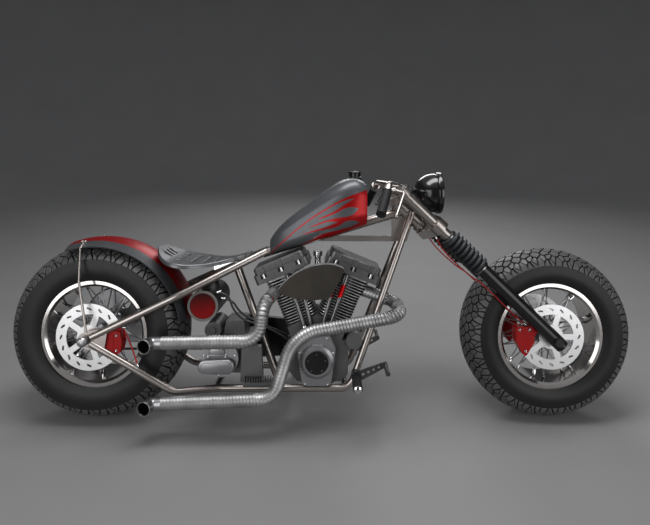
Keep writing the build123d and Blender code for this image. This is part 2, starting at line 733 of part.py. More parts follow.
# Forward foot controls, one solid on each side
PEG_Z = 202
peg_share = (PEG_Z - RAIL_Z) / (DOWN_TOP.Z - RAIL_Z)
PEG = (DOWN_FOOT + 1 + peg_share * (DOWN_TOP.X - DOWN_FOOT), PEG_Z)
TOE = (PEG[0] + 107, PEG[1] + 48)
arm_holes = []
for share in (0.24, 0.42, 0.6, 0.78):
    arm_holes.append(drum(PEG[0] + share * (TOE[0] - PEG[0]), PEG[1] + share * (TOE[1] - PEG[1]),
                          7 - 3 * share, 140, 170))
with BuildPart() as arm:
    with BuildSketch(Plane(origin=(0, 160, 0), x_dir=(1, 0, 0), z_dir=(0, -1, 0))):
        with Locations(PEG):
            Circle(18)
        with Locations(TOE):
            Circle(9)
        make_hull()
    extrude(amount=10)
control = joined(
    [
        drum(*PEG, 17, 112, 152),
        arm.part,
        drum(*PEG, 14.6, 158, 267),
        drum(*TOE, 8, 156, 250),
    ],
    arm_holes + [cradle],
)
pieces["foot_controls"] = joined(both_sides(control))

# Fork: sliders with the axle's bore, legs above them and ribbed boots between
CLAMP_LOW = (595, 632)
CLAMP_TOP = (780, 806)
front_axle = joined([drum(*(WHEELBASE, FRONT["z"]), FRONT_AXLE_R, -158, 158),
                     drum(*(WHEELBASE, FRONT["z"]), 15, 151.5, 162),
                     drum(*(WHEELBASE, FRONT["z"]), 15, -162, -151.5)])
pieces["front_axle"] = front_axle
axle_bore = drum(WHEELBASE, FRONT["z"], FRONT_AXLE_R + FIT, -165, 165)
sliders, legs, boots = [], [], []
BOOT = (386, 562)
RIBS = 8
pitch = (BOOT[1] - BOOT[0] - 16) / RIBS
for y in (LEG_Y, -LEG_Y):
    sliders.append(rod(fork(-32, y), fork(385, y), SLIDER_R))
    legs.append(rod(fork(385 + FIT, y), fork(812, y), LEG_R))
    outline = [(0, LEG_R + FIT), (0, 30), (8, 30)]
    for i in range(RIBS):
        outline += [(8 + pitch * (i + 0.35), 40), (8 + pitch * (i + 0.65), 40), (8 + pitch * (i + 1), 29)]
    outline += [(BOOT[1] - BOOT[0], 29), (BOOT[1] - BOOT[0], LEG_R + FIT)]
    boots.append(spun(outline, fork(BOOT[0], y), UP, SIDE))
fork_sliders = joined(sliders, [axle_bore])
pieces["fork_sliders"] = fork_sliders
pieces["fork_legs"] = joined(legs)
pieces["fork_boots"] = joined(boots)


# Fork: clamps, the lower one with the steering stem, the upper one with the bar's risers
def clamp(t0, t1, leg_r, stem_r):
    with BuildPart() as plate:
        with BuildSketch(Plane(origin=fork(t0), x_dir=SIDE, z_dir=UP)):
            with Locations((LEG_Y, 0), (-LEG_Y, 0)):
                Circle(leg_r)
            with Locations((0, SETBACK)):
                Circle(stem_r)
            make_hull()
            with Locations((LEG_Y, 0), (-LEG_Y, 0)):
                Circle(LEG_R + 0.2, mode=Mode.SUBTRACT)
        extrude(amount=t1 - t0)
    return plate.part


stem = rod(fork(CLAMP_LOW[1] - 5, 0, SETBACK), fork(CLAMP_TOP[1] + 8, 0, SETBACK), STEM_R)
pieces["lower_clamp"] = joined([clamp(*CLAMP_LOW, 33, 32), stem])
BAR_R = 12.5
BAR_MID = fork(828, 0, -5)
GRIP_IN = BAR_MID + Vector(-46, 228, 8)
GRIP_OUT = BAR_MID + Vector(-84, 330, -87)
bar_run = [GRIP_OUT, GRIP_IN, BAR_MID + SIDE * 62]
for point in list(reversed(bar_run)):
    bar_run.append(Vector(point.X, -point.Y, point.Z))
handlebar = tube(bar_run, [32, 60, 60, 32], BAR_R)
pieces["handlebar"] = handlebar
stem_bore = rod(fork(CLAMP_TOP[0] - 1, 0, SETBACK), fork(CLAMP_TOP[1] + 9, 0, SETBACK), STEM_R + 0.2)
risers = [rod(fork(CLAMP_TOP[1] - 2, y, -5), fork(831, y, -5), 17) for y in (44, -44)]
bar_bore = rod(BAR_MID - SIDE * 70, BAR_MID + SIDE * 70, BAR_R + 0.2)
pieces["upper_clamp"] = joined([clamp(*CLAMP_TOP, 31, 30)] + risers, [stem_bore, bar_bore])

# Controls on the bar: grips and ball-ended levers
GRIP_WAY = (GRIP_OUT - GRIP_IN).normalized()
LEVER_WAY = Vector(102, 38, 0).normalized()
grip_start = GRIP_OUT - GRIP_WAY * 104
grip_bore = rod(grip_start - GRIP_WAY * 5, GRIP_OUT, BAR_R + 0.2)
grip = joined([rod(grip_start, GRIP_OUT + GRIP_WAY * 6, 17)], [grip_bore])
pieces["grips"] = joined(both_sides(grip))
perch = grip_start - GRIP_WAY * 11
lever_root = perch + LEVER_WAY * 30
lever_knee = perch + LEVER_WAY * 62 + GRIP_WAY * 14
lever_tip = lever_knee + GRIP_WAY * 112 - LEVER_WAY * 8
with BuildPart() as lever:
    add(rod(perch - GRIP_WAY * 10, perch + GRIP_WAY * 10, 19))
    add(rod(perch + LEVER_WAY * 12, lever_root, 9))
    add(tube([lever_root - LEVER_WAY * 6, lever_knee, lever_tip], 12, 5.5))
    with Locations(lever_tip):
        Sphere(8.5)
    add(handlebar, mode=Mode.SUBTRACT)
pieces["levers"] = joined(both_sides(lever.part))

# Headlight: a bullet bowl with a bright rim and a lens
LAMP_Z = BAR_MID.Z - 30
LAMP_X = (BAR_MID.X + 80, BAR_MID.X + 186)
LAMP_R = 82
bowl_outline = [(0, 0), (0, 20), (12, 48), (40, 70), (80, LAMP_R - 4), (80, LAMP_R)]
bowl_outline += [(106, LAMP_R), (106, LAMP_R - 6), (96, LAMP_R - 6), (96, 0)]
bowl = spun(bowl_outline, (LAMP_X[0], 0, LAMP_Z), (1, 0, 0), (0, 1, 0))
lamp_arm = joined([rod(fork(794, 0, -30), (LAMP_X[0] + 14, 0, LAMP_Z), 13)], [pieces["upper_clamp"]])
pieces["headlight"] = joined([bowl, lamp_arm])
lens_outline = [(96 + FIT, 0), (96 + FIT, 75.5), (104, 75.5), (109, 40), (110, 0)]
pieces["headlight_lens"] = spun(lens_outline, (LAMP_X[0], 0, LAMP_Z), (1, 0, 0), (0, 1, 0))

# Front calipers on lugs behind the sliders
def from_axle(*offsets):
    """(x, z) points given from the front axle."""
    return [(AXLE.X + x, AXLE.Z + z) for x, z in offsets]


front_shape = from_axle((-142, -11), (-142, 45), (-80, 45), (-72, -13), (-108, -73))
lug = slab(from_axle((-108, 1), (-88, 45), (-58, 69), (-44, 53), (-76, 1)), 98, 108, corner=3)
front_caliper = joined([caliper(front_shape, 65, 108, FRONT_DISC_Y, FRONT), lug], [fork_sliders])
pieces["front_calipers"] = joined(both_sides(front_caliper))

# Brake hoses: one up the back of each slider to the lower clamp, one from the rear caliper to the rail
HOSE_R = 2.7
fork_hoses = []
for y in (1, -1):
    run = [
        fork(98, y * 100, 32.5),
        fork(150, y * 104, 42),
        fork(340, y * 116, 36),
        fork(400, y * 112, 52),
        fork(560, y * 112, 52),
        fork(600, y * 106, 24),
    ]
    fork_hoses.append(tube(run, 26, HOSE_R))
pieces["fork_hoses"] = joined(fork_hoses, [pieces["front_calipers"], pieces["lower_clamp"]])
rear_run = [(124, -143.5, 40), (142, -144, 39), (194, -153, -118)]
rear_hose = tube([(x, y, REAR["z"] + z) for x, y, z in rear_run], 22, HOSE_R)
pieces["brake_hoses"] = joined([rear_hose], [rear_caliper, cradles])

# Oil hoses from the tank's front to the crankcase
OIL_HOSE_R = 4
feed = [(36, 42), (94, 57), (94, -9), (136, -55), (240, -83), (350, -160)]
feed_y = (-92, -92, -92, -92, -84, -66)
back_feed = [(44, 18), (100, 15), (128, -35), (182, -65), (280, -110), (345, -140)]
back_y = (-60, -60, -64, -68, -58, -44)
oil_hoses = []
for run, ys in ((feed, feed_y), (back_feed, back_y)):
    oil_hoses.append(tube([(OIL_TANK[0] + x, y, OIL_TANK[1] + z) for (x, z), y in zip(run, ys)], 32, OIL_HOSE_R))
pieces["oil_hoses"] = joined(oil_hoses, [pieces["oil_tank"], crankcase.part])

# Regulator: a finned block on the right lower rail
REGULATOR_X = (574, 690)
FIN_GAP = 9.5
block = [slab([(REGULATOR_X[0], 157), (REGULATOR_X[1], 157), (REGULATOR_X[1], 172), (REGULATOR_X[0], 172)], -131, -101)]
for i in range(12):
    x = REGULATOR_X[0] + 3 + FIN_GAP * i
    block.append(slab([(x, 170), (x + 4, 170), (x + 4, 188), (x, 188)], -131, -101))
regulator = joined(block, [cradles, seat_frame, pieces["side_box"]])
pieces["regulator"] = regulator

# Side stand: a bracket and pin under the left rail, and a leg that folds back along it
PIVOT = Vector(700, 142, 118)
STAND_FLOOR = Vector(762, 292, 292 * tan(radians(LEAN)))
FLOOR_UP = Vector(0, -sin(radians(LEAN)), cos(radians(LEAN)))
stand_down = STAND_FLOOR + FLOOR_UP * 14 - PIVOT
stand_back = Vector(-1, 0.14, 0.10)
STAND_AXIS = stand_down.cross(stand_back).normalized()
EYE_HALF = 8
with BuildPart() as stand_bracket:
    with BuildSketch(Plane(origin=PIVOT + STAND_AXIS * (EYE_HALF + 1.5), x_dir=(1, 0, 0), z_dir=STAND_AXIS)):
        Circle(15)
        with Locations((0, -22)):
            Rectangle(56, 16)
        make_hull()
    extrude(amount=9)
    add(rod(PIVOT - STAND_AXIS * (EYE_HALF + 8), PIVOT + STAND_AXIS * (EYE_HALF + 4), 7))
    add(rod(PIVOT - STAND_AXIS * (EYE_HALF + 9), PIVOT - STAND_AXIS * (EYE_HALF + 1.5), 11))
    add(cradles, mode=Mode.SUBTRACT)
pieces["stand_bracket"] = stand_bracket.part
with BuildPart() as side_stand:
    add(rod(PIVOT - STAND_AXIS * EYE_HALF, PIVOT + STAND_AXIS * EYE_HALF, 15))
    add(rod(PIVOT + stand_down.normalized() * 10, STAND_FLOOR + FLOOR_UP * 14, 9))
    with BuildSketch(Plane(origin=STAND_FLOOR, x_dir=(1, 0, 0), z_dir=FLOOR_UP)):
        RectangleRounded(64, 40, 14)
    extrude(amount=14)
    add(rod(PIVOT - STAND_AXIS * 20, PIVOT + STAND_AXIS * 20, 7 + RUNNING), mode=Mode.SUBTRACT)
pieces["side_stand"] = side_stand.part

# Lean the machine onto its stand, centre it over its floor and write the pieces
leaning = {}
for name, piece in pieces.items():
    leaning[name] = piece.moved(Location((0, 0, 0), (-LEAN, 0, 0)))
boxes = [piece.bounding_box() for piece in leaning.values()]
middle_x = (min(b.min.X for b in boxes) + max(b.max.X for b in boxes)) / 2
middle_y = (min(b.min.Y for b in boxes) + max(b.max.Y for b in boxes)) / 2
floor_z = min(b.min.Z for b in boxes)
PARKED = Location((-middle_x, -middle_y, -floor_z)) * Location((0, 0, 0), (-LEAN, 0, 0))
for name, piece in pieces.items():
    parked = piece.moved(PARKED)
    parked.label = name
    export_step(parked, f"parts/{name}.step")
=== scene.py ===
"""Looks for the bobber motorcycle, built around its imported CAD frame."""

from math import cos, pi, radians, sin, sqrt

import bmesh
import bpy
from mathutils import Matrix, Vector


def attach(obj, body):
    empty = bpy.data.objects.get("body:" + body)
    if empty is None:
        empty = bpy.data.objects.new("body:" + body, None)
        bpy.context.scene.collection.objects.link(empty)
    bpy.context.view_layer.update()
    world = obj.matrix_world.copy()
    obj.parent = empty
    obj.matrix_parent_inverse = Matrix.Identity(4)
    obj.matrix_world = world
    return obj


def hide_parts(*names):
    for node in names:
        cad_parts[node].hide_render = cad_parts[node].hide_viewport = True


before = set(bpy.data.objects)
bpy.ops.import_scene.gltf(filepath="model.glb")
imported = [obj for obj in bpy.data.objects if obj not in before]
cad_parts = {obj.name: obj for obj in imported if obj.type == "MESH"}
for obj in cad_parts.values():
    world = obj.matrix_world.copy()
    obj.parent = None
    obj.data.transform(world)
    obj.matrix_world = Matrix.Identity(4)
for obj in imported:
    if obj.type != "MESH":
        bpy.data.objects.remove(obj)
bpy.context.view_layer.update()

# Frame: bent steel tubes, welded and finished in a dark bronze-grey lacquer with a clear coat.
# New pieces are drawn upright in millimetres, as the CAD is, and leaned with it onto the stand.
LEAN = radians(-9)
MIDDLE = (-0.867148, -0.126833, 0)
PARKED = Matrix.Translation(MIDDLE) @ Matrix.Rotation(LEAN, 4, "X") @ Matrix.Scale(0.001, 4)


def node(tree, kind, inputs=(), **settings):
    """A shader node with its settings, and its inputs as values or links."""
    made = tree.nodes.new("ShaderNode" + kind)
    for key, value in settings.items():
        setattr(made, key, value)
    for key, value in dict(inputs).items():
        if isinstance(value, bpy.types.NodeSocket):
            tree.links.new(value, made.inputs[key])
        else:
            made.inputs[key].default_value = value
    return made


def maths(tree, kind, *values):
    """The result of one sum or comparison between sockets and numbers."""
    return node(tree, "Math", dict(enumerate(values)), operation=kind).outputs[0]


def upright(tree, at=(0, 0, 0)):
    """X, Y and Z of the upright machine in millimetres, measured from a point of it."""
    where = node(tree, "TexCoord").outputs["Object"]
    stood = node(tree, "Mapping", {0: where, 1: MIDDLE, 2: (LEAN, 0, 0)}, vector_type="TEXTURE").outputs[0]
    whole = node(tree, "Mapping", {0: stood, 1: [-v for v in at], 3: (1000, 1000, 1000)}).outputs[0]
    return node(tree, "SeparateXYZ", {0: whole}).outputs


def between(tree, value, low, high, soft=0.6):
    """1 where a length lies between two others, with a soft edge."""
    above = node(tree, "MapRange", {0: maths(tree, "SUBTRACT", value, low), 1: -soft, 2: soft}).outputs[0]
    below = node(tree, "MapRange", {0: maths(tree, "SUBTRACT", high, value), 1: -soft, 2: soft}).outputs[0]
    return maths(tree, "MULTIPLY", above, below)


def tones(colour, drift):
    """A colour a little darker and a little lighter than the one given."""
    dark = [min(1, c * (1 - drift)) for c in colour] + [1]
    light = [min(1, c * (1 + drift)) for c in colour] + [1]
    return dark, light


def finish(
    name, colour, metal=0.0, rough=0.5, drift=0.15, mottle=12.0,
    grain=0.0, fine=700.0, coat=0.0, hollow_shade=0.0, sheen=0.5,
):
    """A surface whose tone, gloss and grain drift slightly, as handled metal, paint and rubber do."""
    mat = bpy.data.materials.new(name)
    mat.use_nodes = True
    tree = mat.node_tree
    skin = tree.nodes["Principled BSDF"]
    where = node(tree, "TexCoord").outputs["Object"]
    broad = node(tree, "TexNoise", {0: where, "Scale": mottle, "Detail": 6.0}).outputs[0]
    speckle = {0: where, "Scale": mottle * 9, "Detail": 8.0, "Roughness": 0.7}
    small = node(tree, "TexNoise", speckle).outputs[0]
    share = node(tree, "MapRange", {0: broad, 1: 0.3, 2: 0.7}).outputs[0]
    dark, light = tones(colour, drift)
    tone = node(tree, "Mix", {0: share, 6: dark, 7: light}, data_type="RGBA").outputs[2]
    # This option darkens the hollows found by ambient occlusion towards near-black: painted shade in creases
    # and recesses.
    if hollow_shade:
        hollow = node(tree, "AmbientOcclusion", {"Distance": 0.03}, samples=6).outputs["AO"]
        shade_mask = node(tree, "MapRange", {0: hollow, 1: 0.25, 2: 0.85, 3: hollow_shade, 4: 0.0}).outputs[0]
        tone = node(tree, "Mix", {0: shade_mask, 6: tone, 7: (0.008, 0.007, 0.006, 1)}, data_type="RGBA").outputs[2]
    tree.links.new(tone, skin.inputs["Base Color"])
    spread = {0: small, 1: 0.3, 2: 0.7, 3: rough * 0.9, 4: min(1, rough * 1.1)}
    gloss = node(tree, "MapRange", spread).outputs[0]
    tree.links.new(gloss, skin.inputs["Roughness"])
    skin.inputs["Metallic"].default_value = metal
    skin.inputs["Coat Weight"].default_value = coat
    skin.inputs["Coat Roughness"].default_value = 0.08
    skin.inputs["Specular IOR Level"].default_value = sheen
    if grain:
        pits = node(tree, "TexNoise", {0: where, "Scale": fine, "Detail": 4.0}).outputs[0]
        relief = node(tree, "Bump", {"Height": pits, "Strength": grain, "Distance": 0.001}).outputs[0]
        tree.links.new(relief, skin.inputs["Normal"])
    return mat


def painted_over(mat, mask, colour, drift=0.12):
    """A second colour on a finish, where the mask is 1."""
    tree = mat.node_tree
    skin = tree.nodes["Principled BSDF"]
    below = skin.inputs["Base Color"].links[0].from_socket
    where = node(tree, "TexCoord").outputs["Object"]
    broad = node(tree, "TexNoise", {0: where, "Scale": 9.0, "Detail": 5.0}).outputs[0]
    dark, light = tones(colour, drift)
    layer = node(tree, "Mix", {0: broad, 6: dark, 7: light}, data_type="RGBA").outputs[2]
    both = node(tree, "Mix", {0: mask, 6: below, 7: layer}, data_type="RGBA").outputs[2]
    tree.links.new(both, skin.inputs["Base Color"])


def dress(mat, *nodes):
    """CAD nodes keep their shape and take a finish."""
    for name in nodes:
        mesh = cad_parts[name].data
        mesh.materials.clear()
        mesh.materials.append(mat)


def place(name, bm, mat, body, sharp=35):
    """A finished mesh, leaned with the machine, that rides on a body."""
    bmesh.ops.remove_doubles(bm, verts=bm.verts, dist=0.01)
    bmesh.ops.recalc_face_normals(bm, faces=bm.faces)
    bmesh.ops.transform(bm, matrix=PARKED, verts=bm.verts)
    mesh = bpy.data.meshes.new(name)
    bm.to_mesh(mesh)
    bm.free()
    mesh.materials.append(mat)
    mesh.polygons.foreach_set("use_smooth", [True] * len(mesh.polygons))
    mesh.set_sharp_from_angle(angle=radians(sharp))
    piece = bpy.data.objects.new(name, mesh)
    bpy.context.scene.collection.objects.link(piece)
    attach(piece, body)
    return piece


frame_lacquer = finish(
    "frame_lacquer", (0.34, 0.308, 0.288), metal=1.0, rough=0.32, drift=0.1, mottle=5, coat=0.15
)
dress(frame_lacquer, "frame_backbone", "upper_rails", "cradle_tubes", "cross_frame")
dress(frame_lacquer, "stand_bracket", "side_stand")

# Engine: sand-cast cases and rocker boxes in dark grey, black barrels with bright-edged fins,
# bare alloy covers. Socket screws hold the boxes and covers down.
CRANK = (851, 254)
BANK = 22.5
HEAD_TOP = 337
# The cases, fins and bare alloy are darkened in their hollows: painted shade.
case_grey = finish("case_grey", (0.11, 0.11, 0.112), metal=0.6, rough=0.4, grain=0.12, coat=0.1, hollow_shade=0.5)
fin_black = finish("fin_black", (0.035, 0.035, 0.037), metal=0.75, rough=0.34, grain=0.08, hollow_shade=0.7)
bare_alloy = finish("bare_alloy", (0.3, 0.3, 0.31), metal=0.92, rough=0.36, grain=0.08, hollow_shade=0.4)
bright_chrome = finish("bright_chrome", (0.6, 0.6, 0.61), metal=1.0, rough=0.09, drift=0.05)
satin_black = finish("satin_black", (0.006, 0.006, 0.0065), rough=0.3, coat=0.15, sheen=0.3)
dress(case_grey, "crankcase", "rocker_boxes", "gearbox", "oil_filter", "side_box", "regulator")
dress(bare_alloy, "cam_cover", "gearbox_cover", "drive_pulleys")
knob_chrome = finish("knob_chrome", (0.8, 0.8, 0.8), metal=1.0, rough=0.22, drift=0.04)
dress(knob_chrome, "carburettor")
dress(satin_black, "points_cover", "primary_plate")
tree = fin_black.node_tree
normal = node(tree, "NewGeometry").outputs["Normal"]
lean = Matrix.Rotation(LEAN, 3, "X")
edges = []
for sign in (1, -1):
    way = lean @ Vector((sign * sin(radians(BANK)), 0, cos(radians(BANK))))
    facing = node(tree, "VectorMath", {0: normal, 1: way}, operation="DOT_PRODUCT").outputs["Value"]
    edges.append(between(tree, facing, -0.45, 0.45, 0.05))
ahead = maths(tree, "GREATER_THAN", upright(tree)[0], CRANK[0])
edge = node(tree, "Mix", {0: ahead, 2: edges[1], 3: edges[0]}).outputs[0]
open_air = node(tree, "AmbientOcclusion", {"Distance": 0.02}, samples=6).outputs["AO"]
open_air = node(tree, "MapRange", {0: open_air, 1: 0.3, 2: 0.6}).outputs[0]
painted_over(fin_black, maths(tree, "MULTIPLY", edge, open_air), (0.5, 0.5, 0.5))
dress(fin_black, "cylinders")


def screw(bm, at, way, radius, height):
    """A round screw with a sunk socket, standing on a face."""
    turn = Vector((0, 0, 1)).rotation_difference(Vector(way)).to_matrix().to_4x4()
    spot = Matrix.Translation(at) @ turn @ Matrix.Translation((0, 0, height / 2 - 1))
    made = bmesh.ops.create_cone(
        bm, cap_ends=True, segments=12, radius1=radius, radius2=radius * 0.9, depth=height, matrix=spot
    )
    faces = {f for v in made["verts"] for f in v.link_faces}
    top = max(faces, key=lambda f: f.calc_center_median().dot(Vector(way)))
    bmesh.ops.inset_region(bm, faces=[top], thickness=radius * 0.42)
    bmesh.ops.translate(bm, vec=Vector(way) * -0.55 * height, verts=top.verts)


def bank_point(sign, along, across, out):
    """A point of one cylinder: along the box, across the machine and out from the crank."""
    a = radians(sign * BANK)
    return (CRANK[0] + along * cos(a) + out * sin(a), across, CRANK[1] - along * sin(a) + out * cos(a))


def bank_way(sign):
    """The way out from the crank along one cylinder."""
    return (sin(radians(sign * BANK)), 0, cos(radians(sign * BANK)))


BOX_STEP = HEAD_TOP + 18
BOX_HALF = 82.5
bm = bmesh.new()
for sign in (1, -1):
    for along in (-72, 0, 72):
        for across in (-BOX_HALF, BOX_HALF):
            screw(bm, bank_point(sign, along, across, BOX_STEP), bank_way(sign), 6.5, 15)
place("rocker_screws", bm, bright_chrome, "chassis")

RIGHT = (0, -1, 0)
CAM_FACE = -139
# Columns: x, z of the cam cover's screws
CAM_SCREWS = ((807, 173), (893, 173), (905, 228), (911, 290), (889, 345), (813, 345), (787, 290), (793, 228))
bm = bmesh.new()
for x, z in CAM_SCREWS:
    screw(bm, (x, CAM_FACE, z), RIGHT, 4.6, 5)
place("cam_cover_screws", bm, bright_chrome, "chassis")
POINTS_RING = 33
POINTS_FACE = -158.8
bm = bmesh.new()
for i in range(5):
    turn = radians(72 * i + 90)
    x, z = CRANK[0] + POINTS_RING * cos(turn), CRANK[1] + POINTS_RING * sin(turn)
    screw(bm, (x, POINTS_FACE, z), RIGHT, 3, 3.4)
place("points_screws", bm, bare_alloy, "chassis")

# Pushrod tubes: steel telescopes that run from the cam chest up to each rocker box. Each has a red
# anodised sleeve, and a hex gland screwed into the case at its foot.
SLEEVE_Z = (484, 530)
GLAND_FOOT = (-108, 357)
ROD_HEAD_Y = -78
rod_steel = finish("rod_steel", (0.16, 0.16, 0.165), metal=0.95, rough=0.3)
tree = rod_steel.node_tree
painted_over(rod_steel, between(tree, upright(tree)[2], *SLEEVE_Z), (0.5, 0.008, 0.01))
dress(rod_steel, "pushrod_tubes")
bm = bmesh.new()
for sign in (1, -1):
    for foot, across in ((42, -14), (16, -56)):
        low = Vector((CRANK[0] + sign * foot, *GLAND_FOOT))
        head = Vector(bank_point(sign, sign * across, ROD_HEAD_Y, HEAD_TOP))
        way = (head - low).normalized()
        turn = Vector((0, 0, 1)).rotation_difference(way).to_matrix().to_4x4()
        for rise, radius, depth, sides in ((7, 13, 12, 6), (17, 10.5, 9, 16)):
            spot = Matrix.Translation(low + way * rise) @ turn
            bmesh.ops.create_cone(
                bm, cap_ends=True, segments=sides, depth=depth, matrix=spot,
                radius1=radius, radius2=radius * 0.92,
            )
place("pushrod_glands", bm, bright_chrome, "chassis")

# Air cleaner: a cover pressed from sheet in the shape of a leaf and finished in brown gunmetal. Its
# upward-facing faces are painted pale grey as a highlight, and it is bolted to the carburettor.
gunmetal = finish("gunmetal", (0.075, 0.068, 0.058), metal=0.9, rough=0.36)
tree = gunmetal.node_tree
facing = node(tree, "SeparateXYZ", {0: node(tree, "NewGeometry").outputs["Normal"]}).outputs[2]
# Faces turned upwards are painted pale grey: a painted highlight.
painted_over(gunmetal, between(tree, facing, 0.35, 2, 0.05), (0.62, 0.64, 0.68), 0.05)
dress(gunmetal, "air_cleaner")

# Oil tank: a rolled drum in satin black, slung between the rails on lugs. Its ends are red caps in
# bare rings.
RING_Y = (112.5, 130)
CAP_SHADE_Z = (430.0, 500.0)
tank_black = finish("tank_black", (0.006, 0.006, 0.0065), rough=0.4, sheen=0.08)
tree = tank_black.node_tree
across = maths(tree, "ABSOLUTE", upright(tree)[1])
painted_over(tank_black, between(tree, across, *RING_Y), (0.13, 0.12, 0.112), 0.1)
dress(tank_black, "oil_tank")
# The red caps are painted darker towards their tops and in their hollows: painted shade of their recess.
recess_red = finish(
    "recess_red", (0.16, 0.001, 0.002), rough=0.4, drift=0.3, mottle=14, hollow_shade=0.9, sheen=0.08
)
tree = recess_red.node_tree
low, high = CAP_SHADE_Z
shade = node(tree, "MapRange", {0: upright(tree)[2], 1: low, 2: high, 3: 0.0, 4: 0.92}).outputs[0]
painted_over(recess_red, shade, (0.008, 0.0005, 0.0005))
dress(recess_red, "oil_tank_ends")

# Drive: machined alloy pulleys with bolted faces, run by toothed rubber belts on the left. On the
# right the gearbox has cast covers, screwed on.
belt_rubber = finish("belt_rubber", (0.016, 0.016, 0.017), rough=0.6, grain=0.2)
dress(belt_rubber, "belts")
CLUTCH = (510, 262)
LEFT = (0, 1, 0)
# Columns: middle, y of the face, ring's radius, screws in it, their radius
PULLEY_RINGS = ((CLUTCH, 204, 48, 8, 5), (CLUTCH, 188, 74, 12, 3.5), (CRANK, 188, 38, 6, 4))
bm = bmesh.new()
for centre, face, ring, count, radius in PULLEY_RINGS:
    for i in range(count):
        turn = 2 * pi * i / count
        screw(bm, (centre[0] + ring * cos(turn), face, centre[1] + ring * sin(turn)), LEFT, radius, 5)
place("pulley_screws", bm, bright_chrome, "chassis")
GEAR_COVER = (484, 258)
COVER_FACE = -118
COVER_RING = 60
PLATE = (474, 233)
FOOT_FACE = -122
FOOT_SCREWS = ((442, 269.5), (508, 269.5))


def points_of(geom):
    """The vertices of an operator's result."""
    return [g for g in geom if isinstance(g, bmesh.types.BMVert)]


def slab(bm, outline, back, front, edge, segments=3):
    """A plate with an outline in (x, z), from one y to another, its front edge rounded."""
    face = bm.faces.new([bm.verts.new((x, back, z)) for x, z in outline])
    raised = bmesh.ops.extrude_face_region(bm, geom=[face])["geom"]
    bmesh.ops.translate(bm, vec=(0, front - back, 0), verts=points_of(raised))
    top = next(g for g in raised if isinstance(g, bmesh.types.BMFace))
    bmesh.ops.bevel(
        bm, geom=top.edges[:], offset=edge, segments=segments, profile=0.5, affect="EDGES", material=-1
    )


def stadium(x, z, wide, high):
    """A flat-sided oval of (x, z) points round a middle."""
    radius = high / 2
    turns = [pi * k / 12 for k in range(13)]
    right = [(x + wide / 2 - radius + radius * sin(t), z + radius * cos(t)) for t in turns]
    left = [(x - wide / 2 + radius - radius * sin(t), z - radius * cos(t)) for t in turns]
    return right + left


bm = bmesh.new()
slab(bm, stadium(*PLATE, 136, 54), -130, -142, 6)
slab(bm, stadium(*PLATE, 112, 32), -140, -144, 1.5)
slab(bm, [(446, 274), (504, 274), (499, 298), (451, 298)], -100, -127, 4)
slab(bm, [(436, 264), (514, 264), (514, 275), (436, 275)], -100, -122, 3)
place("gear_cover_plates", bm, bare_alloy, "chassis")
bm = bmesh.new()
for degrees in (15, 165, 270):
    turn = radians(degrees)
    x, z = GEAR_COVER[0] + COVER_RING * cos(turn), GEAR_COVER[1] + COVER_RING * sin(turn)
    screw(bm, (x, COVER_FACE, z), RIGHT, 4.6, 5)
for x, z in FOOT_SCREWS:
    screw(bm, (x, FOOT_FACE, z), RIGHT, 3.8, 4)
place("gear_cover_screws", bm, bright_chrome, "chassis")


# Exhausts: steel pipes bound in silver heat tape, each turn lapping the one before, held by steel
# bands. The tips are bare steel, with a near-black plug a little inside each mouth: soot and painted
# shade of the pipe's bore.
def bent(points, bends, step):
    """Stations (place, way) along straight runs joined by round bends."""
    points = [Vector(p) for p in points]
    legs = []
    start = points[0]
    for i, radius in enumerate(bends, 1):
        before = (points[i] - points[i - 1]).normalized()
        after = (points[i + 1] - points[i]).normalized()
        turn = before.angle(after)
        reach = radius * sin(turn / 2) / cos(turn / 2)
        axis = before.cross(after).normalized()
        enter = points[i] - before * reach
        hub = enter + axis.cross(before) * radius
        legs.append((start, before, (enter - start).length, None))
        legs.append((enter, before, radius * turn, (hub, axis, radius)))
        start = points[i] + after * reach
    legs.append((start, (points[-1] - start).normalized(), (points[-1] - start).length, None))
    stations = []
    for begin, way, length, curve in legs:
        count = max(1, round(length / step))
        for k in range(count):
            gone = length * k / count
            if curve is None:
                stations.append((begin + way * gone, way))
            else:
                hub, axis, radius = curve
                swing = Matrix.Rotation(gone / radius, 3, axis)
                stations.append((hub + swing @ (begin - hub), swing @ way))
    stations.append((points[-1], (points[-1] - points[-2]).normalized()))
    return stations


def sleeve(bm, stations, radii, sides=20, slant=0.0):
    """A closed tube through rings at stations, each ring with its own radius."""
    ring = None
    before = stations[0][1]
    swing = before.to_track_quat("Z", "Y")
    for (spot, way), radius in zip(stations, radii):
        swing = before.rotation_difference(way) @ swing
        before = way
        turn = swing.to_matrix().to_4x4()
        spread = Matrix.Rotation(slant, 4, "X") @ Matrix.Scale(radius, 4)
        if ring is None:
            made = bmesh.ops.create_circle(bm, cap_ends=True, segments=sides, radius=1)
            ring = made["verts"]
            edges = list({e for v in ring for e in v.link_edges})
            flat = [v.co.copy() for v in ring]
        else:
            made = bmesh.ops.extrude_edge_only(bm, edges=edges)["geom"]
            edges = [g for g in made if isinstance(g, bmesh.types.BMEdge)]
            ring = sorted(points_of(made), key=lambda v: v.index)
            bm.verts.index_update()
        shift = Matrix.Translation(spot) @ turn @ spread
        for v, rest in zip(ring, flat):
            v.co = shift @ rest
    bmesh.ops.contextual_create(bm, geom=edges)


EXHAUST_R = 22
TIP_X = 292
PIPE_Y = -188
TIP_RUN = 46
TIP_OUT = 40
TIP_BEND = 26
BAND_TURN = 7
TAPE = 12
